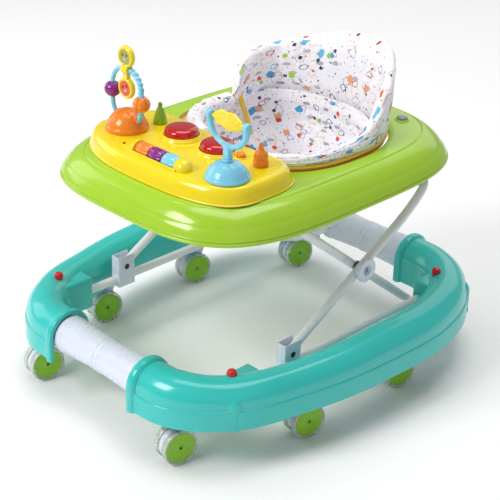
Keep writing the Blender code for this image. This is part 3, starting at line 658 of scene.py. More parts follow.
def hoop(points: Sequence[Vector], radius: float, sides: int, cloth: tuple[float, float] | None = None
         ) -> bmesh.types.BMesh:
    """A round rod along a closed line.

    Args:
        points: The line, each point once.
        radius: The rod's radius.
        sides: Segments round it.
        cloth: The rod's flat width and length in metres, where it needs a UV map.

    Returns:
        The closed rod.
    """
    frames, count = frames_along(points, closed=True), len(points)

    def shape(s: float, t: float) -> Vector:
        return frames[round(t * count) % count] @ Vector((radius * math.cos(s * math.tau),
                                                          radius * math.sin(s * math.tau), 0))

    return facing_out(bent(sides, count, shape, cloth))


def block(low: Vector, high: Vector, bevel: float, segments: int = 4) -> bmesh.types.BMesh:
    """A box with rounded edges between two corners."""
    bm = bmesh.new()
    bmesh.ops.create_cube(bm, size=1)
    middle, size = (low + high) / 2, high - low
    moved(bm, Matrix.Translation(middle) @ Matrix.Diagonal((*size, 1)))
    bmesh.ops.bevel(bm, geom=bm.edges, offset=bevel, offset_type="OFFSET", segments=segments, profile=0.5,
                    affect="EDGES", material=-1)
    return bm


def oval(half_x: float, front: float, rear: float, power: float, turn: float) -> tuple[float, float]:
    """The point of a rounded rectangle in plan at an angle from its middle.

    Args:
        half_x: Half its width.
        front: Its lowest y.
        rear: Its highest y.
        power: How square it is; 2 is an ellipse.
        turn: The angle from +X.

    Returns:
        Its x and y.
    """
    middle, half_y = (front + rear) / 2, (rear - front) / 2
    c, s = math.cos(turn), math.sin(turn)
    reach = (abs(c / half_x) ** power + abs(s / half_y) ** power) ** (-1 / power)
    return c * reach, middle + s * reach


def eased(t: float) -> float:
    """A share that leaves 0 and reaches 1 smoothly."""
    return t * t * (3 - 2 * t)


def between(points: Sequence[Sequence[float]], t: float) -> list[float]:
    """The values at t of a table whose rows start with their own t."""
    for a, b in zip(points, points[1:]):
        if t <= b[0]:
            share = (t - a[0]) / max(1e-9, b[0] - a[0])
            return [p + (q - p) * share for p, q in zip(a[1:], b[1:])]
    return list(points[-1][1:])


def screw(place: Matrix, size: float) -> bmesh.types.BMesh:
    """A small pan-head screw with a cross recess, its head towards the place's +Z; the recess is two thin bars on
    material index 1, painted shade.
    """
    head = spun(rounded([(0, size * 0.45), (size * 0.7, size * 0.4), (size, 0), (size, -size * 0.5), (0, -size * 0.5)],
                        size * 0.25, 3), place, 20)
    # the cross recess is not cut: two thin bars given material index 1 (black) are its painted shade
    recess_shade_bars = [painted(moved(block(Vector((-size * a, -size * b, size * 0.3)), Vector((size * a, size * b, size * 0.5)),
                                size * 0.04, 1), place), 1) for a, b in ((0.55, 0.1), (0.1, 0.55))]
    return merged(painted(head, 0), *recess_shade_bars)


# ---------------------------------------------------------------- base ring
@dataclass
class BaseRing:
    """The oval ring: two teal rails with collars, two white tubes between them, and the bars for the clevises.

    Attributes:
        ring_y: Distance of the tubes from the middle.
        ring_z: Height of the tubes' axes.
        bottom: Height of the rails' lower edge.
        crown: Radius of a rail's round top.
        skirt: Half width of a rail below its step.
        wall: Thickness of the moulding.
        line: The right rail's middle line in plan, with the section's scale at each point.
        bumpers: Middles of the two corner bosses.
    """

    ring_y: float = 0.2975
    ring_z: float = 0.1065
    bottom: float = 0.070
    crown: float = 0.034
    skirt: float = 0.0365
    wall: float = 0.003
    line: tuple[tuple[float, float, float], ...] = (
        (0.092, -0.2975, 1), (0.150, -0.2885, 1), (0.2030, -0.2430, 0.92), (0.2375, -0.150, 0.88),
        (0.2570, 0.030, 1), (0.248, 0.165, 1), (0.205, 0.2520, 1), (0.150, 0.2905, 1), (0.092, 0.2975, 1))
    bumpers: tuple[tuple[float, float], ...] = ((0.2190, -0.2480), (0.2260, 0.2600))

    def stations(self) -> list[tuple[Vector, Vector, float]]:
        """Points of the rail's middle line, as (place, outward, scale)."""
        steps = 12
        data = bpy.data.curves.new("rail line", "CURVE")
        data.dimensions = "3D"
        data.resolution_u = steps
        spline = data.splines.new("BEZIER")
        spline.bezier_points.add(len(self.line) - 1)
        for target, (x, y, _) in zip(spline.bezier_points, self.line):
            target.co = (x, y, 0)
            target.handle_left_type = target.handle_right_type = "AUTO"
        guide = bpy.data.objects.new("rail line", data)
        bpy.context.scene.collection.objects.link(guide)
        bpy.context.view_layer.update()
        points = [vertex.co.copy() for vertex in guide.to_mesh().vertices]
        guide.to_mesh_clear()
        bpy.data.objects.remove(guide, do_unlink=True)
        found = []
        for i, point in enumerate(points):
            ahead = (points[min(i + 1, len(points) - 1)] - points[max(i - 1, 0)]).normalized()
            first = min(i // steps, len(self.line) - 2)
            share = (i - first * steps) / steps
            scale = self.line[first][2] * (1 - share) + self.line[first + 1][2] * share
            found.append((point, ahead.cross(UP), scale))
        return found

    def section(self) -> list[tuple[float, float]]:
        """A rail's outer skin in (across, up): a flanged skirt, a step, the round crown and the inner wall."""
        drop = self.bottom - self.ring_z
        foot = [(self.skirt - 0.0012, drop), (self.skirt + 0.0004, drop + 0.0012), (self.skirt, drop + 0.004),
                (self.skirt, -0.0075), (self.skirt - 0.0004, -0.0060), (self.skirt - 0.0014, -0.0052),
                (self.crown + 0.0002, -0.0048), (self.crown, -0.0036)]
        arch = [(self.crown * math.cos(math.radians(a)), self.crown * math.sin(math.radians(a)))
                for a in range(0, 181, 9)]
        return [*foot, *arch, (-self.crown, -0.012), (-self.crown, -0.024), (-self.crown, drop + 0.0010),
                (-self.crown + 0.0010, drop)]

    def rail(self) -> bmesh.types.BMesh:
        """The right rail's shell."""
        stations, section = self.stations(), self.section()

        def shape(s: float, t: float) -> Vector:
            place, outward, scale = stations[round(t * (len(stations) - 1))]
            across, up = section[round(s * (len(section) - 1))]
            return place + outward * across * scale + UP * (self.ring_z + up * (scale if up > 0 else 1))

        bm = bent(len(section) - 1, len(stations) - 1, shape)
        middle = Vector((0.1, 0, self.ring_z))
        return oriented(bm, lambda p: Vector((p.x - middle.x, p.y, 0)) if p.z < 0.09 and p.x > 0.26 else UP)

    def collar(self, side: int) -> bmesh.types.BMesh:
        """A swollen band round the rail's end, over the tube."""
        drop = self.bottom - self.ring_z - 0.0004
        band = rounded([(-0.0072, 0.0325), (-0.0072, 0.0385), (-0.0020, 0.0392), (0.0045, 0.0385), (0.0082, 0.0335)],
                       0.0035, 4)
        arch = [(math.cos(math.radians(a)), math.sin(math.radians(a)), 0.0) for a in range(0, 181, 6)]
        legs = [(1.0, 0.0, drop * i / 4) for i in range(4, 0, -1)]
        route = [*legs, *arch, *((-1.0, 0.0, drop * i / 4) for i in range(1, 5))]

        def shape(s: float, t: float) -> Vector:
            out, up, down = route[round(t * (len(route) - 1))]
            offset, size = band[round(s * (len(band) - 1))]
            return Vector((0.095 + offset, side * self.ring_y + out * size, self.ring_z + up * size + down))

        bm = bent(len(band) - 1, len(route) - 1, shape)
        axis = Vector((0.095, side * self.ring_y, self.ring_z))
        return oriented(bm, lambda p: Vector((0, p.y - axis.y, p.z - axis.z)))

    def bumper(self, x: float, y: float) -> bmesh.types.BMesh:
        """A domed half-round boss on the outside of a corner."""
        foot = self.bottom - 0.0003
        dome = quarter_round(0.018, 0.0175, 0.106, range(90, -1, -10))
        return spun([*dome, (0.018, foot + 0.004), (0.0190, foot + 0.0025), (0.0190, foot), (0, foot)],
                    Matrix.Translation((x, y, 0)), 40)

    def blocks(self) -> list[bmesh.types.BMesh]:
        """The two blocks inside the corners that hold the ends of a bar and its latch button."""
        return [block(Vector((0.178, -0.245, 0.0706)), Vector((0.216, -0.1785, 0.127)), 0.005),
                block(Vector((0.178, 0.1985, 0.0706)), Vector((0.222, 0.245, 0.127)), 0.005)]

    def latch_collars(self) -> list[bmesh.types.BMesh]:
        """The raised rings that the latch buttons stand in."""
        ring = rounded([(0.0068, 0.1262), (0.0068, 0.1292), (0.0112, 0.1288), (0.0128, 0.1262)], 0.001, 3)
        return [spun([*ring, ring[0]], Matrix.Translation((0.199, y, 0)), 32) for y in (-0.2315, 0.2315)]

    def tube(self, y: float) -> bmesh.types.BMesh:
        """A white tube between the rails, waisted, with a band at its middle and a shallow step near each end."""
        half = [(0, 0.100), (0.0283, 0.100), (0.0283, 0.0876), (0.0303, 0.0868), (0.0305, 0.0790), (0.0303, 0.0775),
                (0.0294, 0.0766), (0.0290, 0.0650), (0.0281, 0.0450), (0.0272, 0.0250), (0.0267, 0.0075),
                (0.0276, 0.0062), (0.0277, 0.0030), (0.0266, 0.0016), (0.0264, 0)]
        full = [*half, *((radius, -height) for radius, height in reversed(half[:-1]))]
        return spun(rounded(full, 0.0012, 2), along("X", 0, y, self.ring_z), 72)

    def build(self, look: Finishes) -> None:
        """Makes the ring's pieces."""
        shell = self.rail()
        bmesh.ops.solidify(shell, geom=shell.faces, thickness=self.wall)
        right = merged(shell, self.collar(-1), self.collar(1), *(self.bumper(x, y) for x, y in self.bumpers),
                       *self.blocks(), *self.latch_collars())
        left = mirrored(right)
        present("rail_right_moulding", right, look.teal, "base", "teal_plastic", "rail_right")
        present("rail_left_moulding", left, look.teal, "base", "teal_plastic", "rail_left")
        present("front_tube_moulding", self.tube(-self.ring_y), look.white, "base", "white_plastic", "front_tube")
        present("rear_tube_moulding", self.tube(self.ring_y), look.white, "base", "white_plastic", "rear_tube")
        for name, side in (("left", -1), ("right", 1)):
            bar = piped([Vector((side * 0.190, y / 1000, 0.097)) for y in range(-204, 213, 16)], lambda s, t: 0.007, 28)
            foot = spun([(0, 0.0200), (0.0030, 0.0200), (0.0030, 0.0005), (0.0062, 0.0005), (0.0062, -0.0030),
                         (0, -0.0036)], along("X", side * 0.1672, 0.184, 0.100) @ Matrix.Scale(side, 4, UP), 24)
            node = "slide_bar_" + name
            present(node + "_tube", merged(bar, foot), look.paint, "base", "white_paint", node)


@dataclass
class LatchButtons:
    """The four red buttons that free the frame to fold.

    Attributes:
        x: Their distance from the middle.
        y: Their distance forward and back.
        top: Height of their tips.
    """

    x: float = 0.199
    y: float = 0.2315
    top: float = 0.1460

    def build(self, look: Finishes) -> None:
        """Makes the buttons: a domed head with a neck that goes down into the rail."""
        outline = [(0, self.top), (0.0040, self.top - 0.0004), (0.0066, self.top - 0.0024), (0.0077, self.top - 0.0060),
                   (0.0072, self.top - 0.0110), (0.0060, self.top - 0.0140), (0.0048, 0.1292), (0.0030, 0.1285),
                   (0.0030, 0.104), (0, 0.104)]
        for end, y in (("front", -self.y), ("rear", self.y)):
            for side, x in (("left", -self.x), ("right", self.x)):
                name = "latch_button_%s_%s" % (end, side)
                bm = spun(rounded(outline, 0.0012, 3), Matrix.Translation((x, y, 0)), 32)
                present(name + "_cap", bm, look.knob_red, name, "red_plastic", name)


# ---------------------------------------------------------------- casters
@dataclass
class Casters:
    """Eight twin-wheel casters: a white hood and stem, two green discs and two clear tyres each.

    Attributes:
        radius: A wheel's outer radius.
        trail: How far the axle is behind the stem.
        swivel: How far the casters are turned, in degrees.
        stems: Where the stems stand.
    """

    radius: float = 0.0285
    trail: float = 0.010
    swivel: float = -12
    stems: tuple[tuple[str, float, float], ...] = (
        ("front_left", -0.1555, -0.2877), ("front_right", 0.1555, -0.2877), ("side_front_left", -0.2340, -0.1017),
        ("side_front_right", 0.2340, -0.1017), ("side_rear_left", -0.2360, 0.1063), ("side_rear_right", 0.2360, 0.1063),
        ("rear_left", -0.1555, 0.2877), ("rear_right", 0.1555, 0.2877))

    def hood(self) -> bmesh.types.BMesh:
        """The hood between the wheels, its neck and its stem, with the stem's axis at the origin."""
        inner, outer = 0.0200, 0.0262
        turns = [math.radians(-20 + 220 * i / 40) for i in range(41)]
        ring = [(0.0048, outer), (-0.0048, outer), (-0.0048, inner), (0.0048, inner), (0.0048, outer)]

        def shape(s: float, t: float) -> Vector:
            across, size = ring[round(s * 4)]
            turn = turns[round(t * 40)]
            return Vector((across, -self.trail + size * math.cos(turn), self.radius + size * math.sin(turn)))

        arch = bent(4, 40, shape)
        bmesh.ops.holes_fill(arch, edges=[edge for edge in arch.edges if edge.is_boundary])
        facing_out(arch)
        bmesh.ops.bevel(arch, geom=[edge for edge in arch.edges if edge.calc_face_angle(0) > 1.2], offset=0.0012,
                        offset_type="OFFSET", segments=2, profile=0.5, affect="EDGES", material=-1)
        web = block(Vector((-0.0030, -self.trail - 0.021, self.radius - 0.006)),
                    Vector((0.0030, -self.trail + 0.021, self.radius + 0.014)), 0.002, 2)
        neck = spun(rounded([(0, 0.098), (0.0046, 0.098), (0.0048, 0.0712), (0.0062, 0.0700), (0.0112, 0.0690),
                             (0.0104, 0.0600), (0.0085, 0.0560), (0.0060, 0.0480), (0, 0.0470)], 0.0015, 3),
                    Matrix.Identity(4), 28)
        return merged(arch, web, neck)

    def disc(self, side: int) -> bmesh.types.BMesh:
        """A green disc with a dished face, a small dark hole and a hub, on the axle's +X or -X side."""
        face = rounded([(0.0026, 0.0105), (0.0026, 0.0160), (0.0046, 0.0160), (0.0056, 0.0150), (0.0150, 0.0146),
                        (0.0215, 0.0152), (0.0232, 0.0158), (0.0240, 0.0145), (0.0240, 0.0072), (0.0225, 0.0062),
                        (0.0030, 0.0062)], 0.0012, 3)
        bore = spun([(0, 0.0120), (0.0028, 0.0120), (0.0028, 0.0100), (0, 0.0100)], Matrix.Identity(4), 16)
        axle = spun([(0, 0.0070), (0.0028, 0.0070), (0.0028, 0), (0, 0)], Matrix.Identity(4), 16)
        whole = merged(painted(spun(face, Matrix.Identity(4), 56), 0), painted(bore, 2), painted(axle, 2))
        return moved(whole, along("X", 0, 0, 0) @ Matrix.Scale(side, 4, UP))

    def tyre(self, side: int) -> bmesh.types.BMesh:
        """A clear tyre round a disc, with a rounded tread."""
        tread = rounded([(0.0241, 0.0150), (0.0262, 0.0166), (0.0276, 0.0160), (0.0285, 0.0140), (0.0285, 0.0085),
                         (0.0276, 0.0062), (0.0262, 0.0057), (0.0241, 0.0068), (0.0241, 0.0150)], 0.0015, 3)
        return moved(spun(tread, Matrix.Identity(4), 64), along("X", 0, 0, 0) @ Matrix.Scale(side, 4, UP))

    def build(self, look: Finishes) -> None:
        """Makes the casters."""
        for place, x, y in self.stems:
            stem = Matrix.Translation((x, y, 0)) @ Matrix.Rotation(math.radians(self.swivel), 4, "Z")
            axle = stem @ Matrix.Translation((0, -self.trail, self.radius))
            present("caster_hood_" + place, moved(self.hood(), stem), look.white, "swivel_" + place, "white_plastic",
                    "caster_fork_" + place)
            discs = moved(merged(self.disc(1), self.disc(-1)), axle)
            present("caster_discs_" + place, discs, look.green, "wheels_" + place, "green_plastic",
                    "caster_wheels_" + place, finishes=(look.dark, look.steel))
            tyres = moved(merged(self.tyre(1), self.tyre(-1)), axle)
            present("caster_tyres_" + place, tyres, look.tyre, "wheels_" + place, "green_plastic")


# ---------------------------------------------------------------- scissor
@dataclass
class Scissor:
    """The crossed leg frames, their hubs, and the clevises that slide on the bars.

    Attributes:
        tube: Radius of the steel tube.
        outer_x: Distance of the front frame's legs from the middle.
        inner_x: Distance of the rear frame's legs from the middle.
        corner: Radius of the frames' top corners.
        bar_x: Distance of the slide bars from the middle.
        slide: Where a front leg's foot turns in its clevis.
        cross: Where the two frames cross.
        rear: Where a rear leg's foot turns.
        front_top: The rear frame's top, under the tray's front.
        rear_top: The front frame's top, under the tray's rear.
    """

    tube: float = 0.007
    outer_x: float = 0.190
    inner_x: float = 0.1745
    corner: float = 0.034
    bar_x: float = 0.190
    slide: Vector = Vector((0, -0.105, 0.119))
    cross: Vector = Vector((0, 0.049, 0.207))
    rear: Vector = Vector((0, 0.184, 0.100))
    front_top: Vector = Vector((0, -0.0903, 0.3174))
    rear_top: Vector = Vector((0, 0.205, 0.312))

    def frame(self, half: float, foot: Vector, shoulder: Vector | None, top: Vector) -> bmesh.types.BMesh:
        """A U of bent tube, from one foot over its top to the other foot, crimped a little at its feet."""
        aim = ((shoulder or top) - foot).normalized()
        side = [foot - aim * 0.0085, foot + aim * 0.03] + ([shoulder] if shoulder else []) + [top]
        right = [Vector((half, p.y, p.z)) for p in side]
        left = [Vector((-half, p.y, p.z)) for p in reversed(side)]
        points = curved([*right, *left], self.corner, 0.005)
        return piped(points, lambda s, t: self.tube, 28)

    def hub(self, side: int) -> bmesh.types.BMesh:
        """A white cap over the crossing, dished round a grey screw."""
        face = rounded([(0.0, 0.0036), (0.0074, 0.0036), (0.0082, 0.0080), (0.0178, 0.0080), (0.0195, 0.0066),
                        (0.0195, 0.0003), (0, 0.0003)], 0.0012, 4)
        return spun(face, along("X", side * 0.1970, *self.cross.yz) @ Matrix.Scale(side, 4, UP), 48)

    def clevis(self, side: int) -> bmesh.types.BMesh:
        """A white block round the bar with two cheeks that hold a leg's foot."""
        x, y = side * self.bar_x, self.slide.y
        parts = [block(Vector((x - 0.0095, y - 0.017, 0.0840)), Vector((x + 0.0095, y + 0.017, 0.1056)), 0.0012, 3),
                 block(Vector((x - 0.0090, y - 0.0165, 0.1000)), Vector((x + 0.0090, y - 0.0146, 0.1380)), 0.0008, 2)]
        for low, high in ((-0.0093, -0.0074), (0.0074, 0.0093)):
            parts.append(block(Vector((x + low, y - 0.0168, 0.1000)), Vector((x + high, y + 0.0165, 0.1385)),
                               0.0008, 2))
        return merged(*parts)

    def build(self, look: Finishes) -> None:
        """Makes the legs, hubs and clevises."""
        rear = self.frame(self.inner_x, self.rear, None, self.front_top)
        slope = (self.cross - self.slide).normalized()
        front = self.frame(self.outer_x, self.slide, self.slide + slope * 0.305, self.rear_top)
        present("rear_leg_tube", rear, look.paint, "rear_legs", "white_paint", "rear_leg_frame")
        present("front_leg_tube", front, look.paint, "front_legs", "white_paint", "front_leg_frame")
        for name, side in (("left", -1), ("right", 1)):
            hub = merged(painted(self.hub(side), 0), painted(self.washer(side), 1))
            present("hub_cap_" + name + "_moulding", hub, look.white, "front_legs", "white_plastic", "hub_cap_" + name,
                    finishes=(look.steel,))
            head = screw(along("X", side * 0.2018, *self.cross.yz) @ Matrix.Scale(side, 4, UP), 0.0048)
            # material index 1 is black: the painted shade of the screw's cross recess
            present("hub_screw_" + name, head, look.steel, "front_legs", "steel", finishes=(look.dark,))
            node = "clevis_" + name
            present(node + "_block", self.clevis(side), look.white, "clevises", "white_plastic", node)
            pin = [(0, 0.0114), (0.0028, 0.0112), (0.0046, 0.0103), (0.0050, 0.0097), (0.0030, 0.0096),
                   (0.0030, -0.0096), (0.0050, -0.0097), (0.0046, -0.0106), (0, -0.0114)]
            bolt = spun(pin, along("X", side * self.bar_x, *self.slide.yz), 24)
            present("clevis_pin_" + name + "_bolt", bolt, look.dark, "clevises", "steel", "clevis_pin_" + name)

    def washer(self, side: int) -> bmesh.types.BMesh:
        """A plated washer between the two frames."""
        return spun([(0.0032, 0.0007), (0.0085, 0.0007), (0.0085, -0.0007), (0.0032, -0.0007), (0.0032, 0.0007)],
                    along("X", side * 0.1822, *self.cross.yz), 24)


# ---------------------------------------------------------------- tray
@dataclass
class Tray:
    """The lime tray: a rolled rim, a high rounded shoulder, a flat top and the seat opening.

    Attributes:
        half_x: Half the tray's width.
        ends: Lowest and highest y.
        power: How square its outline is.
        flat_x: Half the flat top's width.
        flat_ends: The flat top's lowest and highest y.
        rim: Height of the rim.
        top: Height of the flat top.
        opening_x: Half the seat opening's width.
        opening_ends: The opening's lowest and highest y.
        opening_power: How square the opening is.
    """

    half_x: float = 0.2263
    ends: tuple[float, float] = (-0.2744, 0.2996)
    power: float = 3.62
    flat_x: float = 0.178
    flat_ends: tuple[float, float] = (-0.244, 0.262)
    rim: float = 0.332
    top: float = 0.3755
    opening_x: float = 0.160
    opening_ends: tuple[float, float] = (-0.095, 0.2195)
    opening_power: float = 2.4

    def outline(self, share: float, grow: float, turn: float) -> tuple[float, float]:
        """The plan outline at a share of the way from rim to flat top, grown by a distance."""
        half = self.half_x + (self.flat_x - self.half_x) * share + grow
        front, rear = (a + (b - a) * share for a, b in zip(self.ends, self.flat_ends))
        return oval(half, front - grow, rear + grow, self.power, turn)

    def stations(self) -> list[tuple[float, float, float]]:
        """Rows of the shoulder as (share of the inset, growth, height), from the rim up to the flat top."""
        rows = [(0, -0.0006, self.rim - 0.0004), (0, 0.0008, self.rim), (0, 0.0014, self.rim + 0.0012),
                (0, 0.0014, self.rim + 0.0034), (0, 0.0006, self.rim + 0.0046), (0, -0.0007, self.rim + 0.0052),
                (0, -0.0008, self.rim + 0.0062), (0, 0.0, self.rim + 0.0074)]
        for i in range(1, 25):
            share = i / 24
            height = self.rim + 0.006 + (self.top - self.rim - 0.006) * math.sin(share * math.pi / 2)
            dip = 0.0016 * math.exp(-(((share - 0.86) / 0.022) ** 2))
            crease = 0.0007 * math.exp(-(((share - 0.30) / 0.03) ** 2))
            rows.append((share**1.25, -crease, height - dip))
        for share in (0.84, 0.86, 0.88, 0.905):
            height = self.rim + 0.006 + (self.top - self.rim - 0.006) * math.sin(share * math.pi / 2)
            rows.append((share**1.25, 0, height - 0.0016 * math.exp(-(((share - 0.865) / 0.018) ** 2))))
        rows.sort(key=lambda row: (row[0], row[2]) if row[0] == 0 else (row[0], 0))
        return rows

    def shell(self) -> bmesh.types.BMesh:
        """The tray's skin."""
        rows = self.stations()
        lip = [(0.0042, 0.0), (0.0020, -0.0004), (0.0006, -0.0018), (0.0, -0.0042), (0.0, -0.0085)]
        last = len(rows) + 3 + len(lip) - 1

        def shape(s: float, t: float) -> Vector:
            turn, row = s * math.tau, round(t * last)
            if row < len(rows):
                share, grow, height = rows[row]
                return Vector((*self.outline(share, grow, turn), height))
            x0, y0 = self.outline(1, 0, turn)
            step = row - len(rows)
            if step < 3:
                x1, y1 = oval(self.opening_x + 0.0042, self.opening_ends[0] - 0.0042, self.opening_ends[1] + 0.0042,
                              self.opening_power, turn)
                share = (step + 1) / 4
                return Vector((x0 + (x1 - x0) * share, y0 + (y1 - y0) * share, self.top))
            grow, drop = lip[step - 3]
            x, y = oval(self.opening_x + grow, self.opening_ends[0] - grow, self.opening_ends[1] + grow,
                        self.opening_power, turn)
            return Vector((x, y, self.top + drop))

        bm = oriented(bent(192, last, shape), lambda p: UP)
        bmesh.ops.solidify(bm, geom=bm.faces, thickness=0.0028)
        return bm

    def build(self, look: Finishes) -> None:
        """Makes the tray, its two stud caps and its seat ring."""
        studs = []
        for side in (-1, 1):
            base = [(0, 0.3772), (0.0112, 0.3770), (0.0124, 0.3758), (0.0126, 0.3746), (0, 0.3746)]
            cap = [(0, 0.3816), (0.0060, 0.3814), (0.0084, 0.3802), (0.0092, 0.3785), (0.0094, 0.3768), (0, 0.3768)]
            place = Matrix.Translation((side * 0.103, 0.2345, 0))
            studs += [painted(spun(rounded(base, 0.001, 3), place, 40), 0),
                      painted(spun(rounded(cap, 0.0012, 3), place, 40), 1)]
        whole = merged(painted(self.shell(), 0), *studs)
        present("tray_moulding", whole, look.lime, "tray", "lime_plastic", "tray", finishes=(look.grey,))
        inset, steps = 0.0070, 160
        points = [Vector((*oval(self.opening_x - inset, self.opening_ends[0] + inset, self.opening_ends[1] - inset,
                                self.opening_power, i * math.tau / steps), self.top - 0.0052)) for i in range(steps)]
        present("seat_ring_moulding", hoop(points, 0.0034, 14), look.orange, "tray", "orange_plastic", "seat_ring")
        for node in ("rear_bracket_left", "rear_bracket_right", "front_track_left", "front_track_right"):
            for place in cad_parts[node].material_slots:
                place.material = look.white
        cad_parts["music_module"].material_slots[0].material = look.dark


# ---------------------------------------------------------------- seat
@dataclass
class Seat:
    """The padded cloth seat: a hanging bucket, a high padded back and a padded roll along its left front.

    Attributes:
        middle_y: Where the back's middle is, forward and back.
        half_x: Half the back's width.
        half_y: Half its depth.
        power: How square its plan is.
        thick: Half the pad's thickness.
        foot: Height of its lower edge.
        ends: Angles of its two ends from +Y towards +X, in degrees.
        hole: Radius of a leg hole.
        hole_x: Distance of a leg hole from the middle.
        hole_z: Height of the leg holes' middles.
    """

    middle_y: float = 0.062
    half_x: float = 0.1485
    half_y: float = 0.1420
    power: float = 2.6
    thick: float = 0.0088
    foot: float = 0.3775
    ends: tuple[float, float] = (-88, 158)
    hole: float = 0.0405
    hole_x: float = 0.060
    hole_z: float = 0.268

    def reach(self, turn: float) -> float:
        """Distance of the pad's middle surface from the seat's middle, at an angle from +Y towards +X."""
        s, c = abs(math.sin(turn)), abs(math.cos(turn))
        return ((s / self.half_x) ** self.power + (c / self.half_y) ** self.power) ** (-1 / self.power)

    def crest(self, degrees: float) -> float:
        """Height of the back's top edge at an angle."""
        table = ((-92, 0.398), (-87, 0.406), (-83, 0.428), (-78, 0.446), (-66, 0.455), (-50, 0.462), (-33, 0.475),
                 (-12, 0.494), (8, 0.5055), (29, 0.5100), (42, 0.5020), (50, 0.4880), (57, 0.4700), (64, 0.4480),
                 (71, 0.4260), (79, 0.4100), (90, 0.4010), (105, 0.3975), (135, 0.3965), (160, 0.3955))
        return between(table, degrees)[0]

    def inset(self, degrees: float) -> float:
        """How far the back curls inwards at an angle, which it does at its left end."""
        return 0.035 * eased(min(1.0, max(0.0, (-44 - degrees) / 42)))

    def back(self) -> bmesh.types.BMesh:
        """The padded back: a closed bolster that wraps round the seat and flares a little at its top."""
        low, high = self.ends
        columns, rows = 156, 84

        def shape(s: float, t: float) -> Vector:
            degrees = low + (high - low) * s
            turn = math.radians(degrees)
            end = min(1.0, min(s, 1 - s) / 0.022)
            puff = math.sqrt(max(0.0, 1 - (1 - end) ** 2)) * 0.94 + 0.06
            crest = self.crest(degrees)
            across, rise = self.section(t, (crest - self.foot) * (0.80 + 0.20 * puff), self.thick * puff)
            z = (crest + self.foot) / 2 + rise
            lean = 0.010 * max(0.0, (z - 0.40) / 0.11)
            radius = self.reach(turn) + lean + across - self.inset(degrees)
            return Vector((math.sin(turn) * radius, self.middle_y + math.cos(turn) * radius, z))

        bm = bent(columns, rows, shape, (0.60, 0.235))
        return oriented(bm, lambda p: UP if p.z > 0.47 else Vector((0, 0, 0)))

    def section(self, t: float, height: float, thick: float) -> tuple[float, float]:
        """The point at a share of the way round a bolster's cross-section, evenly by length.

        Args:
            t: The share, which starts at the section's foot and goes round by its outer face.
            height: The section's whole height.
            thick: Half its thickness.

        Returns:
            How far out and how far up the point is from the section's middle.
        """
        straight = max(0.0, height - 2 * thick)
        quarter = math.pi * thick / 2
        run = t * 2 * (straight + 2 * quarter)
        side = 1
        if run > straight + 2 * quarter:
            run, side = 2 * (straight + 2 * quarter) - run, -1
        if run < quarter:
            angle = run / thick
            return side * thick * math.sin(angle), -straight / 2 - thick * math.cos(angle)
        if run < quarter + straight:
            rise = run - quarter
            swell = 0.0012 * math.sin(rise / straight * math.pi)
            return side * (thick + swell), rise - straight / 2
        angle = (run - quarter - straight) / thick
        return side * thick * math.cos(angle), straight / 2 + thick * math.sin(angle)

    def roll(self) -> bmesh.types.BMesh:
        """The padded roll along the left front of the opening."""
        low, high = -87, -162

        def shape(s: float, t: float) -> Vector:
            degrees = low + (high - low) * s
            turn = math.radians(degrees)
            end = min(1.0, min(s, 1 - s) / 0.05)
            puff = math.sqrt(max(0.0, 1 - (1 - end) ** 2)) * 0.97 + 0.03
            angle = t * math.tau
            radius = self.reach(turn) - 0.031 + 0.015 * s + 0.0135 * puff * math.cos(angle)
            z = 0.3900 - 0.006 * s + 0.0125 * puff * math.sin(angle)
            return Vector((math.sin(turn) * radius, self.middle_y + math.cos(turn) * radius, z))

        return oriented(bent(60, 24, shape, (0.19, 0.09)), lambda p: UP if p.z > 0.39 else Vector((0, 0, 0)))

    def wall(self, t: float) -> tuple[float, ...]:
        """The bucket's half width, front, rear, height and squareness at a share of the way down it."""
        return between(((0.00, 0.1500, -0.0845, 0.2085, 0.3730, 2.45), (0.06, 0.1490, -0.083, 0.2070, 0.3700, 2.4),
                        (0.22, 0.1440, -0.060, 0.1900, 0.3300, 2.35), (0.40, 0.1300, -0.040, 0.1780, 0.2800, 2.3),
                        (0.58, 0.1080, -0.018, 0.1600, 0.2350, 2.3), (0.74, 0.0700, 0.015, 0.1250, 0.2140, 2.2),
                        (1.00, 0.0005, 0.0700, 0.0710, 0.2085, 2.0)), t)

    def front_wall(self, x: float, z: float) -> Vector:
        """The point of the bucket's front wall at a place across it and a height."""
        low, high = 0.0, 0.74
        for _ in range(24):
            half = (low + high) / 2
            low, high = (half, high) if self.wall(half)[3] > z else (low, half)
        wide, front, rear, _, power = self.wall(low)
        reach = (1 - min(1.0, abs(x / wide)) ** power) ** (1 / power) * (rear - front) / 2
        return Vector((x, (front + rear) / 2 - reach, z))

    def bucket(self) -> bmesh.types.BMesh:
        """The cloth bucket that hangs in the ring, with a hole for each leg and a flap up inside the back."""
        columns, rows = 132, 72

        def shape(s: float, t: float) -> Vector:
            half, front, rear, z, power = self.wall(t)
            x, y = oval(half, front, rear, power, s * math.tau)
            degrees = math.degrees(math.atan2(x, y - self.middle_y))
            under = eased(min(1.0, max(0.0, min(degrees + 92, 168 - degrees) / 14)))
            flap = under * max(0.0, 1 - t / 0.20)
            shrink = 1 - 0.135 * eased(min(1.0, flap * 1.6)) if flap else 1
            middle = self.middle_y
            return Vector((x * shrink, middle + (y - middle) * shrink, z + 0.017 * flap))

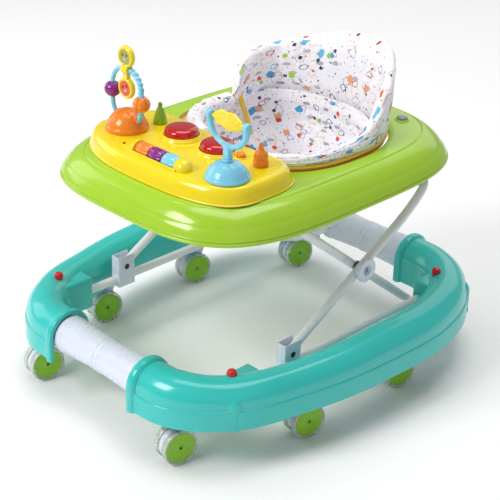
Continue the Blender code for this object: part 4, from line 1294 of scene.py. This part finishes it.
        bm = bent(columns, rows, shape, (0.94, 0.34))
        for _ in range(3):
            bmesh.ops.smooth_vert(bm, verts=[v for v in bm.verts if v.co.z < 0.366], factor=0.5, use_axis_x=True,
                                  use_axis_y=True, use_axis_z=True)
        centres = [(face, face.calc_center_median()) for face in bm.faces]
        holes = [face for face, p in centres if p.y < 0.02 and any(
            math.hypot(p.x - x, p.z - self.hole_z) < self.hole for x in (-self.hole_x, self.hole_x))]
        bmesh.ops.delete(bm, geom=holes, context="FACES")
        for point in bm.verts:
            side = math.copysign(self.hole_x, point.co.x)
            reach = math.hypot(point.co.x - side, point.co.z - self.hole_z)
            if point.is_boundary and point.co.y < 0.03 and reach < 0.050:
                size = self.hole / reach
                point.co = self.front_wall(side + (point.co.x - side) * size,
                                           self.hole_z + (point.co.z - self.hole_z) * size)
        return oriented(bm, lambda p: Vector((-p.x, self.middle_y - p.y, 0.1)))

    def billowed(self, piece: bpy.types.Object, held: Callable[[Vector], float], pressure: float, cap: float,
                 weight: float = 0.0) -> None:
        """Fills or hangs a piece by cloth simulation, and keeps how far each point moved within a cap.

        Args:
            piece: The cloth, whose mesh is changed.
            held: How firmly the point at a place is sewn down, from 0 to 1.
            pressure: Push of the filling.
            cap: The furthest that a point may move, in metres.
            weight: Share of gravity.
        """
        scene = bpy.context.scene
        mesh = piece.data
        start = [vertex.co.copy() for vertex in mesh.vertices]
        group = piece.vertex_groups.new(name="sewn")
        for vertex in mesh.vertices:
            group.add([vertex.index], held(vertex.co), "REPLACE")
        cloth = piece.modifiers.new("filling", "CLOTH")
        cloth.settings.quality = 5
        cloth.settings.mass = 0.2
        cloth.settings.bending_stiffness = 0.4
        cloth.settings.tension_stiffness = cloth.settings.compression_stiffness = 12
        cloth.settings.vertex_group_mass = "sewn"
        cloth.settings.use_pressure = pressure != 0
        cloth.settings.uniform_pressure_force = pressure
        cloth.settings.effector_weights.gravity = weight
        cloth.collision_settings.use_collision = False
        for step in range(1, 21):
            scene.frame_set(step)
        shaped = piece.evaluated_get(bpy.context.evaluated_depsgraph_get())
        for vertex, before, after in zip(mesh.vertices, start, [v.co.copy() for v in shaped.data.vertices]):
            shift = after - before
            if shift.length > cap:
                shift *= cap / shift.length
            vertex.co = before + shift
        piece.modifiers.remove(cloth)
        piece.vertex_groups.clear()
        scene.frame_set(1)

    def creased(self, piece: bpy.types.Object, depth: float, size_mm: float) -> None:
        """Works soft creases into a piece, along its normals."""
        mesh = piece.data
        normals = [vertex.normal.copy() for vertex in mesh.vertices]
        for vertex, normal in zip(mesh.vertices, normals):
            place = Vector((vertex.co.x, vertex.co.y, vertex.co.z * 0.55)) * per_metre(size_mm)
            ridge = 1 - abs(noise.noise(place)) * 2.2
            soft = noise.noise(place * 0.45 + Vector((7, 3, 1)))
            vertex.co += normal * depth * (0.5 * max(0.0, ridge) ** 3 - 0.25 + 0.5 * soft)

    def tape(self, points: Sequence[Vector], width: float) -> bmesh.types.BMesh:
        """A flat binding tape with a rounded edge along a line of the seat."""
        middle = Vector((0, self.middle_y, 0.36))
        path = curved(points, 0.03, 0.005)
        last = len(path) - 1

        def shape(s: float, t: float) -> Vector:
            i = round(t * last)
            ahead = (path[min(i + 1, last)] - path[max(i - 1, 0)]).normalized()
            inward = (middle - path[i]).normalized()
            across = ahead.cross(inward).normalized()
            lift = across.cross(ahead)
            turn = s * math.tau
            return path[i] + across * math.cos(turn) * width / 2 + lift * math.sin(turn) * 0.0016

        bm = bent(16, last, shape, (0.02, 0.30))
        bmesh.ops.holes_fill(bm, edges=[edge for edge in bm.edges if edge.is_boundary])
        return facing_out(bm)

    def hole_rims(self) -> list[bmesh.types.BMesh]:
        """Binding round each leg hole, on the bucket's cut edge."""
        turns = [i * math.tau / 48 for i in range(48)]
        return [hoop([self.front_wall(x + self.hole * math.cos(turn), self.hole_z + self.hole * math.sin(turn))
                      for turn in turns], 0.0032, 10, (0.02, 0.25)) for x in (-self.hole_x, self.hole_x)]

    def build(self, look: Finishes) -> None:
        """Makes the seat's pieces."""
        bucket = present("seat_bucket_cloth", self.bucket(), look.cloth, "tray", "fabric", "seat_bucket", crease=80)
        self.billowed(bucket, lambda p: 1.0 if p.z > 0.360 else 0.0, 0.25, 0.006, 0.3)
        self.creased(bucket, 0.0028, 46)
        wall = bucket.modifiers.new("wall", "SOLIDIFY")
        wall.thickness, wall.offset = 0.0022, -1
        back = present("seat_back_padding", self.back(), look.cloth, "tray", "fabric", "seat_back_pad", crease=80)
        self.billowed(back, lambda p: 1.0 if p.z < 0.384 else 0.0, 3.0, 0.006)
        self.creased(back, 0.0030, 52)
        roll = present("seat_front_roll", self.roll(), look.cloth, "tray", "fabric", crease=80)
        self.billowed(roll, lambda p: 1.0 if p.z < 0.378 else 0.0, 2.0, 0.004)
        self.creased(roll, 0.0025, 34)
        present("seat_leg_hole_binding", merged(*self.hole_rims()), look.binding, "tray", "fabric", crease=80)
        inner = [Vector(place) for place in (
            (-0.1100, 0.0740, 0.4000), (-0.1035, 0.0750, 0.3920), (-0.1090, 0.0850, 0.3760),
            (-0.1170, 0.0985, 0.3585), (-0.1260, 0.1130, 0.3380), (-0.1250, 0.1210, 0.3140),
            (-0.1220, 0.1270, 0.2900))]
        present("seat_back_binding", self.tape(inner, 0.0085), look.binding, "tray", "fabric", crease=80)
        outer = []
        for degrees in range(-40, 158, 9):
            turn = math.radians(degrees)
            radius = self.reach(turn) + 0.0078
            outer.append(Vector((math.sin(turn) * radius, self.middle_y + math.cos(turn) * radius, 0.3785)))
        piping = piped(curved(outer, 0.02, 0.006), lambda s, t: 0.0026, 10)
        uv = piping.loops.layers.uv.new("cloth")
        for face in piping.faces:
            for loop in face.loops:
                loop[uv].uv = (loop.vert.co.x + loop.vert.co.y, loop.vert.co.z)
        present("seat_piping", piping, look.binding, "tray", "fabric", crease=80)


# ---------------------------------------------------------------- toy console
@dataclass
class Console:
    """The yellow toy console: a rounded shell with bezels, a row of rollers and two light buttons.

    Attributes:
        half_x: Half its width at the foot.
        ends: Its lowest and highest y at the foot.
        powers: How square its plan is at the front and at the rear.
        foot: Height of its lower edge.
        top: Height of its top.
        roller_y: Where the rollers' axis is, forward and back.
        roller_z: Height of that axis.
        buttons: The light buttons' nodes and places.
        small: Where the small button is.
    """

    half_x: float = 0.1715
    ends: tuple[float, float] = (-0.236, -0.067)
    powers: tuple[float, float] = (2.6, 4.0)
    foot: float = 0.3761
    top: float = 0.4013
    roller_y: float = -0.200
    roller_z: float = 0.403
    buttons: tuple[tuple[str, float, float], ...] = (
        ("light_button_left", -0.031, -0.1205), ("light_button_right", 0.046, -0.1195))
    small: tuple[float, float] = (0.0845, -0.1090)

    def plan(self, share: float, inset: float, turn: float) -> tuple[float, float]:
        """The console's outline, whose rear edge bows round the seat.

        Args:
            share: How much of the outline is left, from 1 down to 0 at its middle.
            inset: How far the whole outline is moved in.
            turn: Angle from +X.

        Returns:
            The x and y there.
        """
        middle, half_y = sum(self.ends) / 2, (self.ends[1] - self.ends[0]) / 2 - inset
        power = self.powers[1] if math.sin(turn) > 0 else self.powers[0] + 0.25 * math.cos(turn)
        x, y = oval(self.half_x - inset, middle - half_y, middle + half_y, power, turn)
        behind = max(0.0, (y - middle) / half_y)
        y += 0.016 * (x / 0.12) ** 2 * behind**2
        return x * share, middle + (y - middle) * share

    def shell(self) -> bmesh.types.BMesh:
        """The console's skin, with a small foot flange and a top that rises a little to its middle."""
        side = rounded([(-0.0012, self.foot), (-0.0012, self.foot + 0.0016), (0.0002, self.foot + 0.0022),
                        (0.0040, self.top - 0.0085), (0.0085, self.top - 0.0012), (0.0200, self.top)], 0.006, 6)
        flat = [(0.0200 + (0.0845 - 0.0200) * i / 36, self.top + 0.0006 * eased(i / 36)) for i in range(1, 37)]
        rows = [*side, *flat]

        def shape(s: float, t: float) -> Vector:
            inset, z = rows[round(t * (len(rows) - 1))]
            share = 1 - max(0.0, inset - 0.0200) / 0.0645
            return Vector((*self.plan(max(0.0, share), min(inset, 0.0200), s * math.tau), z))

        bm = oriented(bent(288, len(rows) - 1, shape), lambda p: UP)
        for x, y, size in (*((x, y, 0.0298) for _, x, y in self.buttons), (*self.small, 0.0082)):
            within = [face for face in bm.faces if face.calc_center_median().z > 0.3980
                      and math.hypot(face.calc_center_median().x - x, face.calc_center_median().y - y) < size]
            bmesh.ops.delete(bm, geom=within, context="FACES")
            for point in bm.verts:
                reach = math.hypot(point.co.x - x, point.co.y - y)
                if point.is_boundary and point.co.z > 0.3980 and reach < size + 0.006:
                    point.co.x, point.co.y = x + (point.co.x - x) * size / reach, y + (point.co.y - y) * size / reach
        return bm

    def collar(self, x: float, y: float) -> bmesh.types.BMesh:
        """The low ring round the small button."""
        ring = rounded([(0.0074, 0.3985), (0.0074, 0.4028), (0.0082, 0.4032), (0.0092, 0.4026), (0.0096, 0.4006),
                        (0.0074, 0.3985)], 0.0004, 2)
        return spun(ring, Matrix.Translation((x, y, 0)), 36)

    def bezel(self, x: float, y: float) -> bmesh.types.BMesh:
        """The stepped ring round a light button."""
        ring = rounded([(0.0268, 0.3950), (0.0268, 0.4066), (0.0278, 0.4074), (0.0290, 0.4070), (0.0296, 0.4052),
                        (0.0308, 0.4044), (0.0318, 0.4030), (0.0330, 0.4005), (0.0268, 0.3950)], 0.0009, 3)
        return spun(ring, Matrix.Translation((x, y, 0)), 72)

    def housing(self) -> list[bmesh.types.BMesh]:
        """The raised frame round the rollers, with a quarter-round end at each side."""
        y, z = self.roller_y, self.roller_z
        parts = [block(Vector((-0.0400, y - 0.0165, 0.398)), Vector((0.0600, y - 0.0128, 0.4044)), 0.0012, 3),
                 block(Vector((-0.0400, y + 0.0128, 0.398)), Vector((0.0600, y + 0.0165, 0.4044)), 0.0012, 3)]
        bowl = rounded([(0, 0.0145), (0.0065, 0.0132), (0.0110, 0.0092), (0.0134, 0.0040), (0.0138, -0.0040),
                        (0.0138, -0.0085), (0, -0.0085)], 0.003, 5)
        parts.append(spun(bowl, along("X", 0.0610, y, z), 48))
        end = rounded([(0, 0.0065), (0.0110, 0.0060), (0.0136, 0.0035), (0.0138, -0.0010), (0, -0.0010)], 0.003, 5)
        parts.append(spun(end, along("X", -0.0355, y, z) @ Matrix.Scale(-1, 4, UP), 48))
        return parts

    def roller(self, x: float) -> bmesh.types.BMesh:
        """A roller with ribs along its length."""
        ribs, half = 14, 0.0137

        def shape(s: float, t: float) -> Vector:
            turn = s * math.tau
            rows = ((0.0024, half), (0.0100, half), (0.0112, half - 0.0004), (0.0118, half - 0.0014),
                    (0.0118, 0.0), (0.0118, 0.0014 - half), (0.0112, 0.0004 - half), (0.0100, -half), (0.0024, -half))
            size, height = rows[round(t * 8)]
            wave = (0.5 + 0.5 * math.cos(turn * ribs)) ** 2
            size += 0.0011 * wave * (abs(height) < half - 0.001 and size > 0.011)
            return Vector((size * math.cos(turn), size * math.sin(turn), height))

        bm = bent(ribs * 10, 8, shape)
        bmesh.ops.holes_fill(bm, edges=[edge for edge in bm.edges if edge.is_boundary], sides=0)
        return moved(facing_out(bm), along("X", x, self.roller_y, self.roller_z))

    def dome(self, x: float, y: float) -> bmesh.types.BMesh:
        """A light button's clear red cap, steep at its side and almost flat on top."""
        outline = rounded([(0, 0.4197), (0.0150, 0.4190), (0.0222, 0.4172), (0.0254, 0.4140), (0.0262, 0.4090),
                           (0.0262, 0.4035), (0, 0.4035)], 0.004, 6)
        return spun(outline, Matrix.Translation((x, y, 0)), 72)

    def build(self, look: Finishes) -> None:
        """Makes the console's pieces."""
        bezels = [self.bezel(x, y) for _, x, y in self.buttons] + [self.collar(*self.small)]
        # a small flat black disc on the top (material index 1): painted shade of a small hole, which is not cut
        hole = painted(spun([(0, 0.4022), (0.0022, 0.4022), (0.0022, 0.4000), (0, 0.4000)],
                            Matrix.Translation((-0.0680, -0.201, 0)), 20), 1)
        shell = merged(painted(merged(self.shell(), *bezels, *self.housing()), 0), hole)
        present("console_moulding", shell, look.yellow, "tray", "yellow_plastic", "console", finishes=(look.dark,))
        for node, x, finish, slot in (("roller_orange", -0.0190, look.orange, "orange_plastic"),
                                      ("roller_purple", 0.0095, look.purple, "purple_plastic"),
                                      ("roller_blue", 0.0380, look.sky, "sky_plastic")):
            present(node + "_drum", self.roller(x), finish, node, slot, node, crease=60)
        for node, x, y in self.buttons:
            present(node + "_dome", self.dome(x, y), look.red, node, "red_plastic", node)
        cap = [(0, 0.4096), (0.0038, 0.4092), (0.0060, 0.4078), (0.0068, 0.4060), (0.0068, 0.4016), (0, 0.4016)]
        button = spun(rounded(cap, 0.0012, 4), Matrix.Translation((*self.small, 0)), 32)
        present("small_button_cap", button, look.orange, "small_button", "orange_plastic", "small_button")


@dataclass
class BeadToy:
    """An orange dome with a light blue arch, two beads and a pair of yellow discs that tumble on the arch.

    Attributes:
        x: Where it stands, left and right.
        y: Where it stands, forward and back.
        foot: Height of the console's top.
        half: Half the arch's width at its beads.
    """

    x: float = -0.1100
    y: float = -0.159
    foot: float = TOY_FOOT
    half: float = 0.033

    def arch(self) -> bmesh.types.BMesh:
        """The arch, smooth on its left and ribbed like a coil on its right."""
        half = [(0.0200, 0.4120), (0.0275, 0.4220), (self.half, 0.4330), (self.half, 0.4720), (0.0280, 0.4840),
                (0.0190, 0.4925), (0.0090, 0.4955)]
        right = [Vector((self.x + x, self.y, z)) for x, z in half]
        left = [Vector((self.x - x, self.y, z)) for x, z in reversed(half)]
        points = curved([*right, *left], 0.02, 0.0011)

        def radius(t: float, s: float) -> float:
            coiled = 0.03 < t < 0.46
            return 0.0034 + (0.0017 * (0.5 + 0.5 * math.sin(t * 120 + s * math.tau)) if coiled else 0.0002)

        return piped(points, radius, 18)

    def lobed(self, x: float, z: float, radius: float, lobes: int, depth: float) -> bmesh.types.BMesh:
        """A bead with a bore, cut into lobes by grooves, or seamed round its middle if it has none."""
        bore = math.asin(0.0040 / radius)

        def shape(s: float, t: float) -> Vector:
            turn = s * math.tau
            rise = math.pi / 2 - bore - (math.pi - 2 * bore) * t
            groove = depth * (abs(math.cos(turn * lobes / 2)) ** 14 if lobes else math.exp(-((rise / 0.05) ** 2)))
            size = radius - groove
            return Vector((size * math.cos(rise) * math.cos(turn), size * math.cos(rise) * math.sin(turn),
                           size * math.sin(rise) * 0.95))

        bm = bent(96, 40, shape)
        bmesh.ops.holes_fill(bm, edges=[edge for edge in bm.edges if edge.is_boundary], sides=0)
        return moved(facing_out(bm), Matrix.Translation((self.x + x, self.y, z)))

    def face(self, z: float, tilt: float) -> list[bmesh.types.BMesh]:
        """A yellow disc with a raised rim and a printed plate: two eyes and a mouth of plain dots."""
        rim = rounded([(0, 0.0034), (0.0118, 0.0034), (0.0126, 0.0048), (0.0148, 0.0046), (0.0168, 0.0020),
                       (0.0168, -0.0020), (0.0148, -0.0046), (0.0126, -0.0048), (0.0118, -0.0034), (0, -0.0034)],
                      0.0012, 3)
        parts = [painted(spun(rim, along("Y", self.x, self.y, z), 56), 0)]
        for side in ("Y", "-Y"):
            place = along(side, self.x, self.y, z)
            parts.append(painted(spun([(0, 0.0038), (0.0116, 0.0037), (0.0117, 0.0030), (0, 0.0030)], place, 40), 1))
            for x, y, size in ((-0.0042, 0.0030, 0.0018), (0.0042, 0.0030, 0.0018)):
                eye = place @ Matrix.Rotation(tilt, 4, "Z") @ Matrix.Translation((x, y, 0.0037))
                parts.append(painted(spun([(0, 0.0004), (size, 0.0003), (size, 0), (0, 0)], eye, 16), 2))
            mouth = place @ Matrix.Rotation(tilt, 4, "Z") @ Matrix.Translation((0, -0.0035, 0.0037))
            dot = spun([(0, 0.0004), (0.0034, 0.0003), (0.0034, 0), (0, 0)], Matrix.Identity(4), 20)
            parts.append(painted(moved(dot, mouth @ Matrix.Diagonal((1, 0.55, 1, 1))), 3))
        return parts

    def build(self, look: Finishes) -> None:
        """Makes the toy."""
        dome = quarter_round(0.0320, 0.0320, self.foot, range(90, 13, -5))
        skirt = rounded([dome[-1], (0.0316, self.foot + 0.0068), (0.0326, self.foot + 0.0060), (0.0330, self.foot),
                         (0, self.foot)], 0.0008, 3)
        cap = spun([*dome[:-1], *skirt], Matrix.Translation((self.x, self.y, 0)), 72)
        for x, z, lean in ((0.0205, 0.4135, -35), (-0.0205, 0.4135, 35)):
            place = Matrix.Translation((self.x + x, self.y, z + 0.0055)) @ Matrix.Rotation(math.radians(-lean), 4, "Y")
            socket = spun(rounded([(0, 0.0075), (0.0052, 0.0072), (0.0062, 0.0055), (0.0066, -0.004), (0, -0.004)],
                                  0.001, 3), place, 28)
            cap = merged(cap, socket)
        for turn in (math.radians(degrees) for degrees in (20, 140, 260)):
            rise = [Vector((math.cos(turn) * math.cos(a) * 0.0321, math.sin(turn) * math.cos(a) * 0.0321,
                            self.foot + 0.0321 * math.sin(a))) for a in (i * 0.07 for i in range(4, 23))]
            cap = merged(cap, moved(piped(rise, lambda s, t: 0.0006, 8), Matrix.Translation((self.x, self.y, 0))))
        present("bead_dome_moulding", cap, look.orange, "tray", "orange_plastic", "bead_dome")
        present("bead_arch_moulding", self.arch(), look.sky, "tray", "sky_plastic", "bead_arch", crease=60)
        present("bead_purple_ball", self.lobed(-self.half, 0.4560, 0.0130, 0, 0.0005), look.purple, "bead_purple",
                "purple_plastic", "bead_purple", crease=60)
        present("bead_orange_ball", self.lobed(self.half, 0.4490, 0.0136, 5, 0.0022), look.orange, "bead_orange",
                "orange_plastic", "bead_orange", crease=60)
        neck = spun(rounded([(0.0040, 0.0070), (0.0072, 0.0070), (0.0072, -0.0070), (0.0040, -0.0070),
                             (0.0040, 0.0070)], 0.0012, 3), along("X", self.x, self.y, 0.4955), 40)
        link = block(Vector((self.x - 0.0050, self.y - 0.0042, 0.4780)),
                     Vector((self.x + 0.0050, self.y + 0.0042, 0.5020)), 0.0018, 3)
        head, body = self.face(0.5150, 0.0), self.face(0.4660, 0.3)
        for part in body:
            for face in part.faces:
                face.material_index = 4 if face.material_index == 1 else face.material_index
        present("figure_moulding", merged(neck, link, *head, *body), look.yellow, "figure", "yellow_plastic", "figure",
                finishes=(look.olive, look.dark, look.sky, look.flame))


@dataclass
class Spinner:
    """A light blue base with a turning yoke that holds a yellow leaf.

    Attributes:
        x: Where it stands, left and right.
        y: Where it stands, forward and back.
        z: Height of the leaf's axis.
        arm: Half the yoke's width.
    """

    x: float = 0.1225
    y: float = -0.173
    z: float = 0.4865
    arm: float = 0.037

    def leaf(self) -> bmesh.types.BMesh:
        """The leaf: a lobed outline with a raised rib and veins, swollen in its middle."""

        def shape(s: float, t: float) -> Vector:
            turn = s * math.tau
            x = math.cos(turn)
            lobes = 0.86 + 0.22 * abs(math.sin(turn * 3.5 + 0.6)) * (1 - x * x) ** 0.5
            wide, high = 0.0305 * x, 0.0140 * math.sin(turn) * lobes
            side = t * 2 - 1
            size = math.sqrt(max(0.0, 1 - side * side)) ** 0.7
            veins = 0.0016 * (0.5 + 0.5 * math.cos((abs(high * size) * 0.9 - wide * size) * 900))
            rib = 0.0018 * math.exp(-((high * size / 0.0014) ** 2))
            return Vector((wide * size, (0.0026 + (veins + rib) * size) * side, high * size))

        bm = facing_out(bent(112, 36, shape))
        return moved(bm, Matrix.Translation((self.x, self.y, self.z)))

    def build(self, look: Finishes) -> None:
        """Makes the spinner."""
        foot = TOY_FOOT
        outline = rounded([(0, 0.4266), (0.0100, 0.4262), (0.0190, 0.4226), (0.0262, 0.4162), (0.0302, 0.4090),
                           (0.0312, 0.4066), (0.0322, 0.4058), (0.0328, 0.4040), (0.0330, foot), (0, foot)], 0.002, 4)
        base = spun(outline, Matrix.Translation((self.x, self.y, 0)), 72)
        present("spinner_base_moulding", base, look.sky, "tray", "sky_plastic", "spinner_base")
        half = [(self.arm, self.z), (self.arm - 0.0002, 0.4760), (0.0320, 0.4640), (0.0230, 0.4550), (0.0110, 0.4500)]
        points = [Vector((self.x + x, self.y, z)) for x, z in half]
        points += [Vector((self.x - x, self.y, z)) for x, z in reversed(half)]
        arms = piped(curved(points, 0.012, 0.0025), lambda t, s: 0.0038 + 0.0012 * abs(math.cos(t * math.pi)) ** 4, 20)
        stem = moved(block(Vector((-0.0056, -0.0048, 0.4268)), Vector((0.0056, 0.0048, 0.4520)), 0.0016, 3),
                     Matrix.Translation((self.x, self.y, 0)))
        collar = spun(rounded([(0, 0.4300), (0.0078, 0.4298), (0.0086, 0.4268), (0, 0.4268)], 0.0010, 3),
                      Matrix.Translation((self.x, self.y, 0)), 32)
        web = moved(block(Vector((-0.0110, -0.0030, 0.4440)), Vector((0.0110, 0.0030, 0.4530)), 0.0028, 3),
                    Matrix.Translation((self.x, self.y, 0)))
        ear = rounded([(0, 0.0050), (0.0058, 0.0046), (0.0072, 0.0022), (0.0072, -0.0022), (0.0058, -0.0046),
                       (0, -0.0050)], 0.002, 4)
        ears = [spun(ear, along("X", self.x + side * self.arm, self.y, self.z), 36) for side in (-1, 1)]
        present("spinner_yoke_moulding", merged(arms, stem, collar, web, *ears), look.sky, "spinner_yoke",
                "sky_plastic", "spinner_yoke")
        axle = spun([(0, 0.0342), (0.0020, 0.0342), (0.0020, -0.0342), (0, -0.0342)],
                    along("X", self.x, self.y, self.z), 16)
        present("spinner_leaf_moulding", merged(self.leaf(), axle), look.yellow, "spinner_leaf", "yellow_plastic",
                "spinner_leaf", crease=70)


@dataclass
class Pegs:
    """Two small peg figures: a green cone with a knob and an orange bottle."""

    def build(self, look: Finishes) -> None:
        """Makes the pegs."""
        foot = TOY_FOOT
        cone = [(0, 0.4356), (0.0022, 0.4350), (0.0034, 0.4332), (0.0034, 0.4300), (0.0026, 0.4280), (0.0052, 0.4258),
                (0.0084, 0.4160), (0.0108, 0.4060), (0.0110, 0.4046), (0.0110, foot), (0, foot)]
        bottle = [(0, 0.4372), (0.0024, 0.4366), (0.0036, 0.4340), (0.0034, 0.4300), (0.0040, 0.4262), (0.0092, 0.4215),
                  (0.0110, 0.4150), (0.0102, 0.4118), (0.0114, 0.4098), (0.0116, foot), (0, foot)]
        for node, outline, x, finish, slot in (("peg_cone", cone, -0.0930, look.peg_green, "green_plastic"),
                                               ("peg_bottle", bottle, 0.1240, look.orange, "orange_plastic")):
            bm = spun(rounded(outline, 0.0016, 4), Matrix.Translation((x, -0.108, 0)), 48)
            present(node + "_moulding", bm, finish, node, slot, node)


# ---------------------------------------------------------------- the set
class Studio:
    """Floor, lights and camera."""

    def build(self) -> None:
        """Makes the pale floor, the soft lights and the camera."""
        bm = bmesh.new()
        bmesh.ops.create_grid(bm, x_segments=1, y_segments=1, size=12)
        mesh = bpy.data.meshes.new("floor")
        bm.to_mesh(mesh)
        bm.free()
        floor = bpy.data.objects.new("floor", mesh)
        bpy.context.scene.collection.objects.link(floor)
        material, tree = empty_material("matt white card")
        shader = add(tree, "ShaderNodeBsdfPrincipled", {"Base Color": linear("#FBFBFB"), "Roughness": 0.9,
                                                        "Specular IOR Level": 0.1})
        add(tree, "ShaderNodeOutputMaterial", {"Surface": shader.outputs[0]})
        mesh.materials.append(material)
        self.light("key", (-0.7, -2.6, 2.3), 1.3, 60)
        self.light("fill", (2.4, -1.0, 1.8), 2.2, 2)
        self.light("side", (-2.5, -0.9, 1.2), 1.6, 12)
        self.light("top", (-0.2, 0.5, 3.4), 2.4, 58)
        self.light("back", (-0.8, 2.8, 1.9), 2.2, 12)
        bpy.context.scene.view_settings.view_transform = "Standard"
        world = bpy.data.worlds.new("studio")
        bpy.context.scene.world = world
        world.use_nodes = True
        world.node_tree.nodes["Background"].inputs["Color"].default_value = linear("#FFFFFF")
        world.node_tree.nodes["Background"].inputs["Strength"].default_value = 0.34
        self.camera()

    def light(self, name: str, place: tuple[float, float, float], size: float, power: float) -> None:
        """A square soft light that faces the walker."""
        data = bpy.data.lights.new(name, "AREA")
        data.size = size
        data.energy = power
        lamp = bpy.data.objects.new(name, data)
        lamp.location = place
        lamp.rotation_euler = (Vector(place) - Vector((0, 0, 0.25))).to_track_quat("Z", "Y").to_euler()
        bpy.context.scene.collection.objects.link(lamp)

    def camera(self) -> None:
        """A long lens at the front right, a little above the tray."""
        azimuth, elevation, roll = (math.radians(a) for a in (44.788, 25.424, 1.444))
        back = Vector((math.sin(azimuth) * math.cos(elevation), -math.cos(azimuth) * math.cos(elevation),
                       math.sin(elevation)))
        level = UP.cross(back).normalized()
        upright = back.cross(level)
        right = level * math.cos(roll) + upright * math.sin(roll)
        up = upright * math.cos(roll) - level * math.sin(roll)
        data = bpy.data.cameras.new("camera")
        data.sensor_width = 36
        data.lens = 103.496
        data.shift_x = 0.0049
        data.shift_y = -0.0741
        camera = bpy.data.objects.new("camera", data)
        camera.matrix_world = Matrix.Translation(Vector((0, -0.0075, 0.25)) + back * 2.266) @ Matrix(
            (right, up, back)).transposed().to_4x4()
        bpy.context.scene.collection.objects.link(camera)
        bpy.context.scene.camera = camera


def main() -> None:
    """Builds the walker, sub-assembly by sub-assembly, and its set."""
    logging.basicConfig(level=logging.INFO, format="%(name)s %(message)s")
    look = Finishes()
    for assembly in (BaseRing, LatchButtons, Casters, Scissor, Tray, Seat, Console, BeadToy, Spinner, Pegs):
        assembly().build(look)
    Studio().build()
    bpy.context.view_layer.update()


if __name__ == "__main__":
    main()
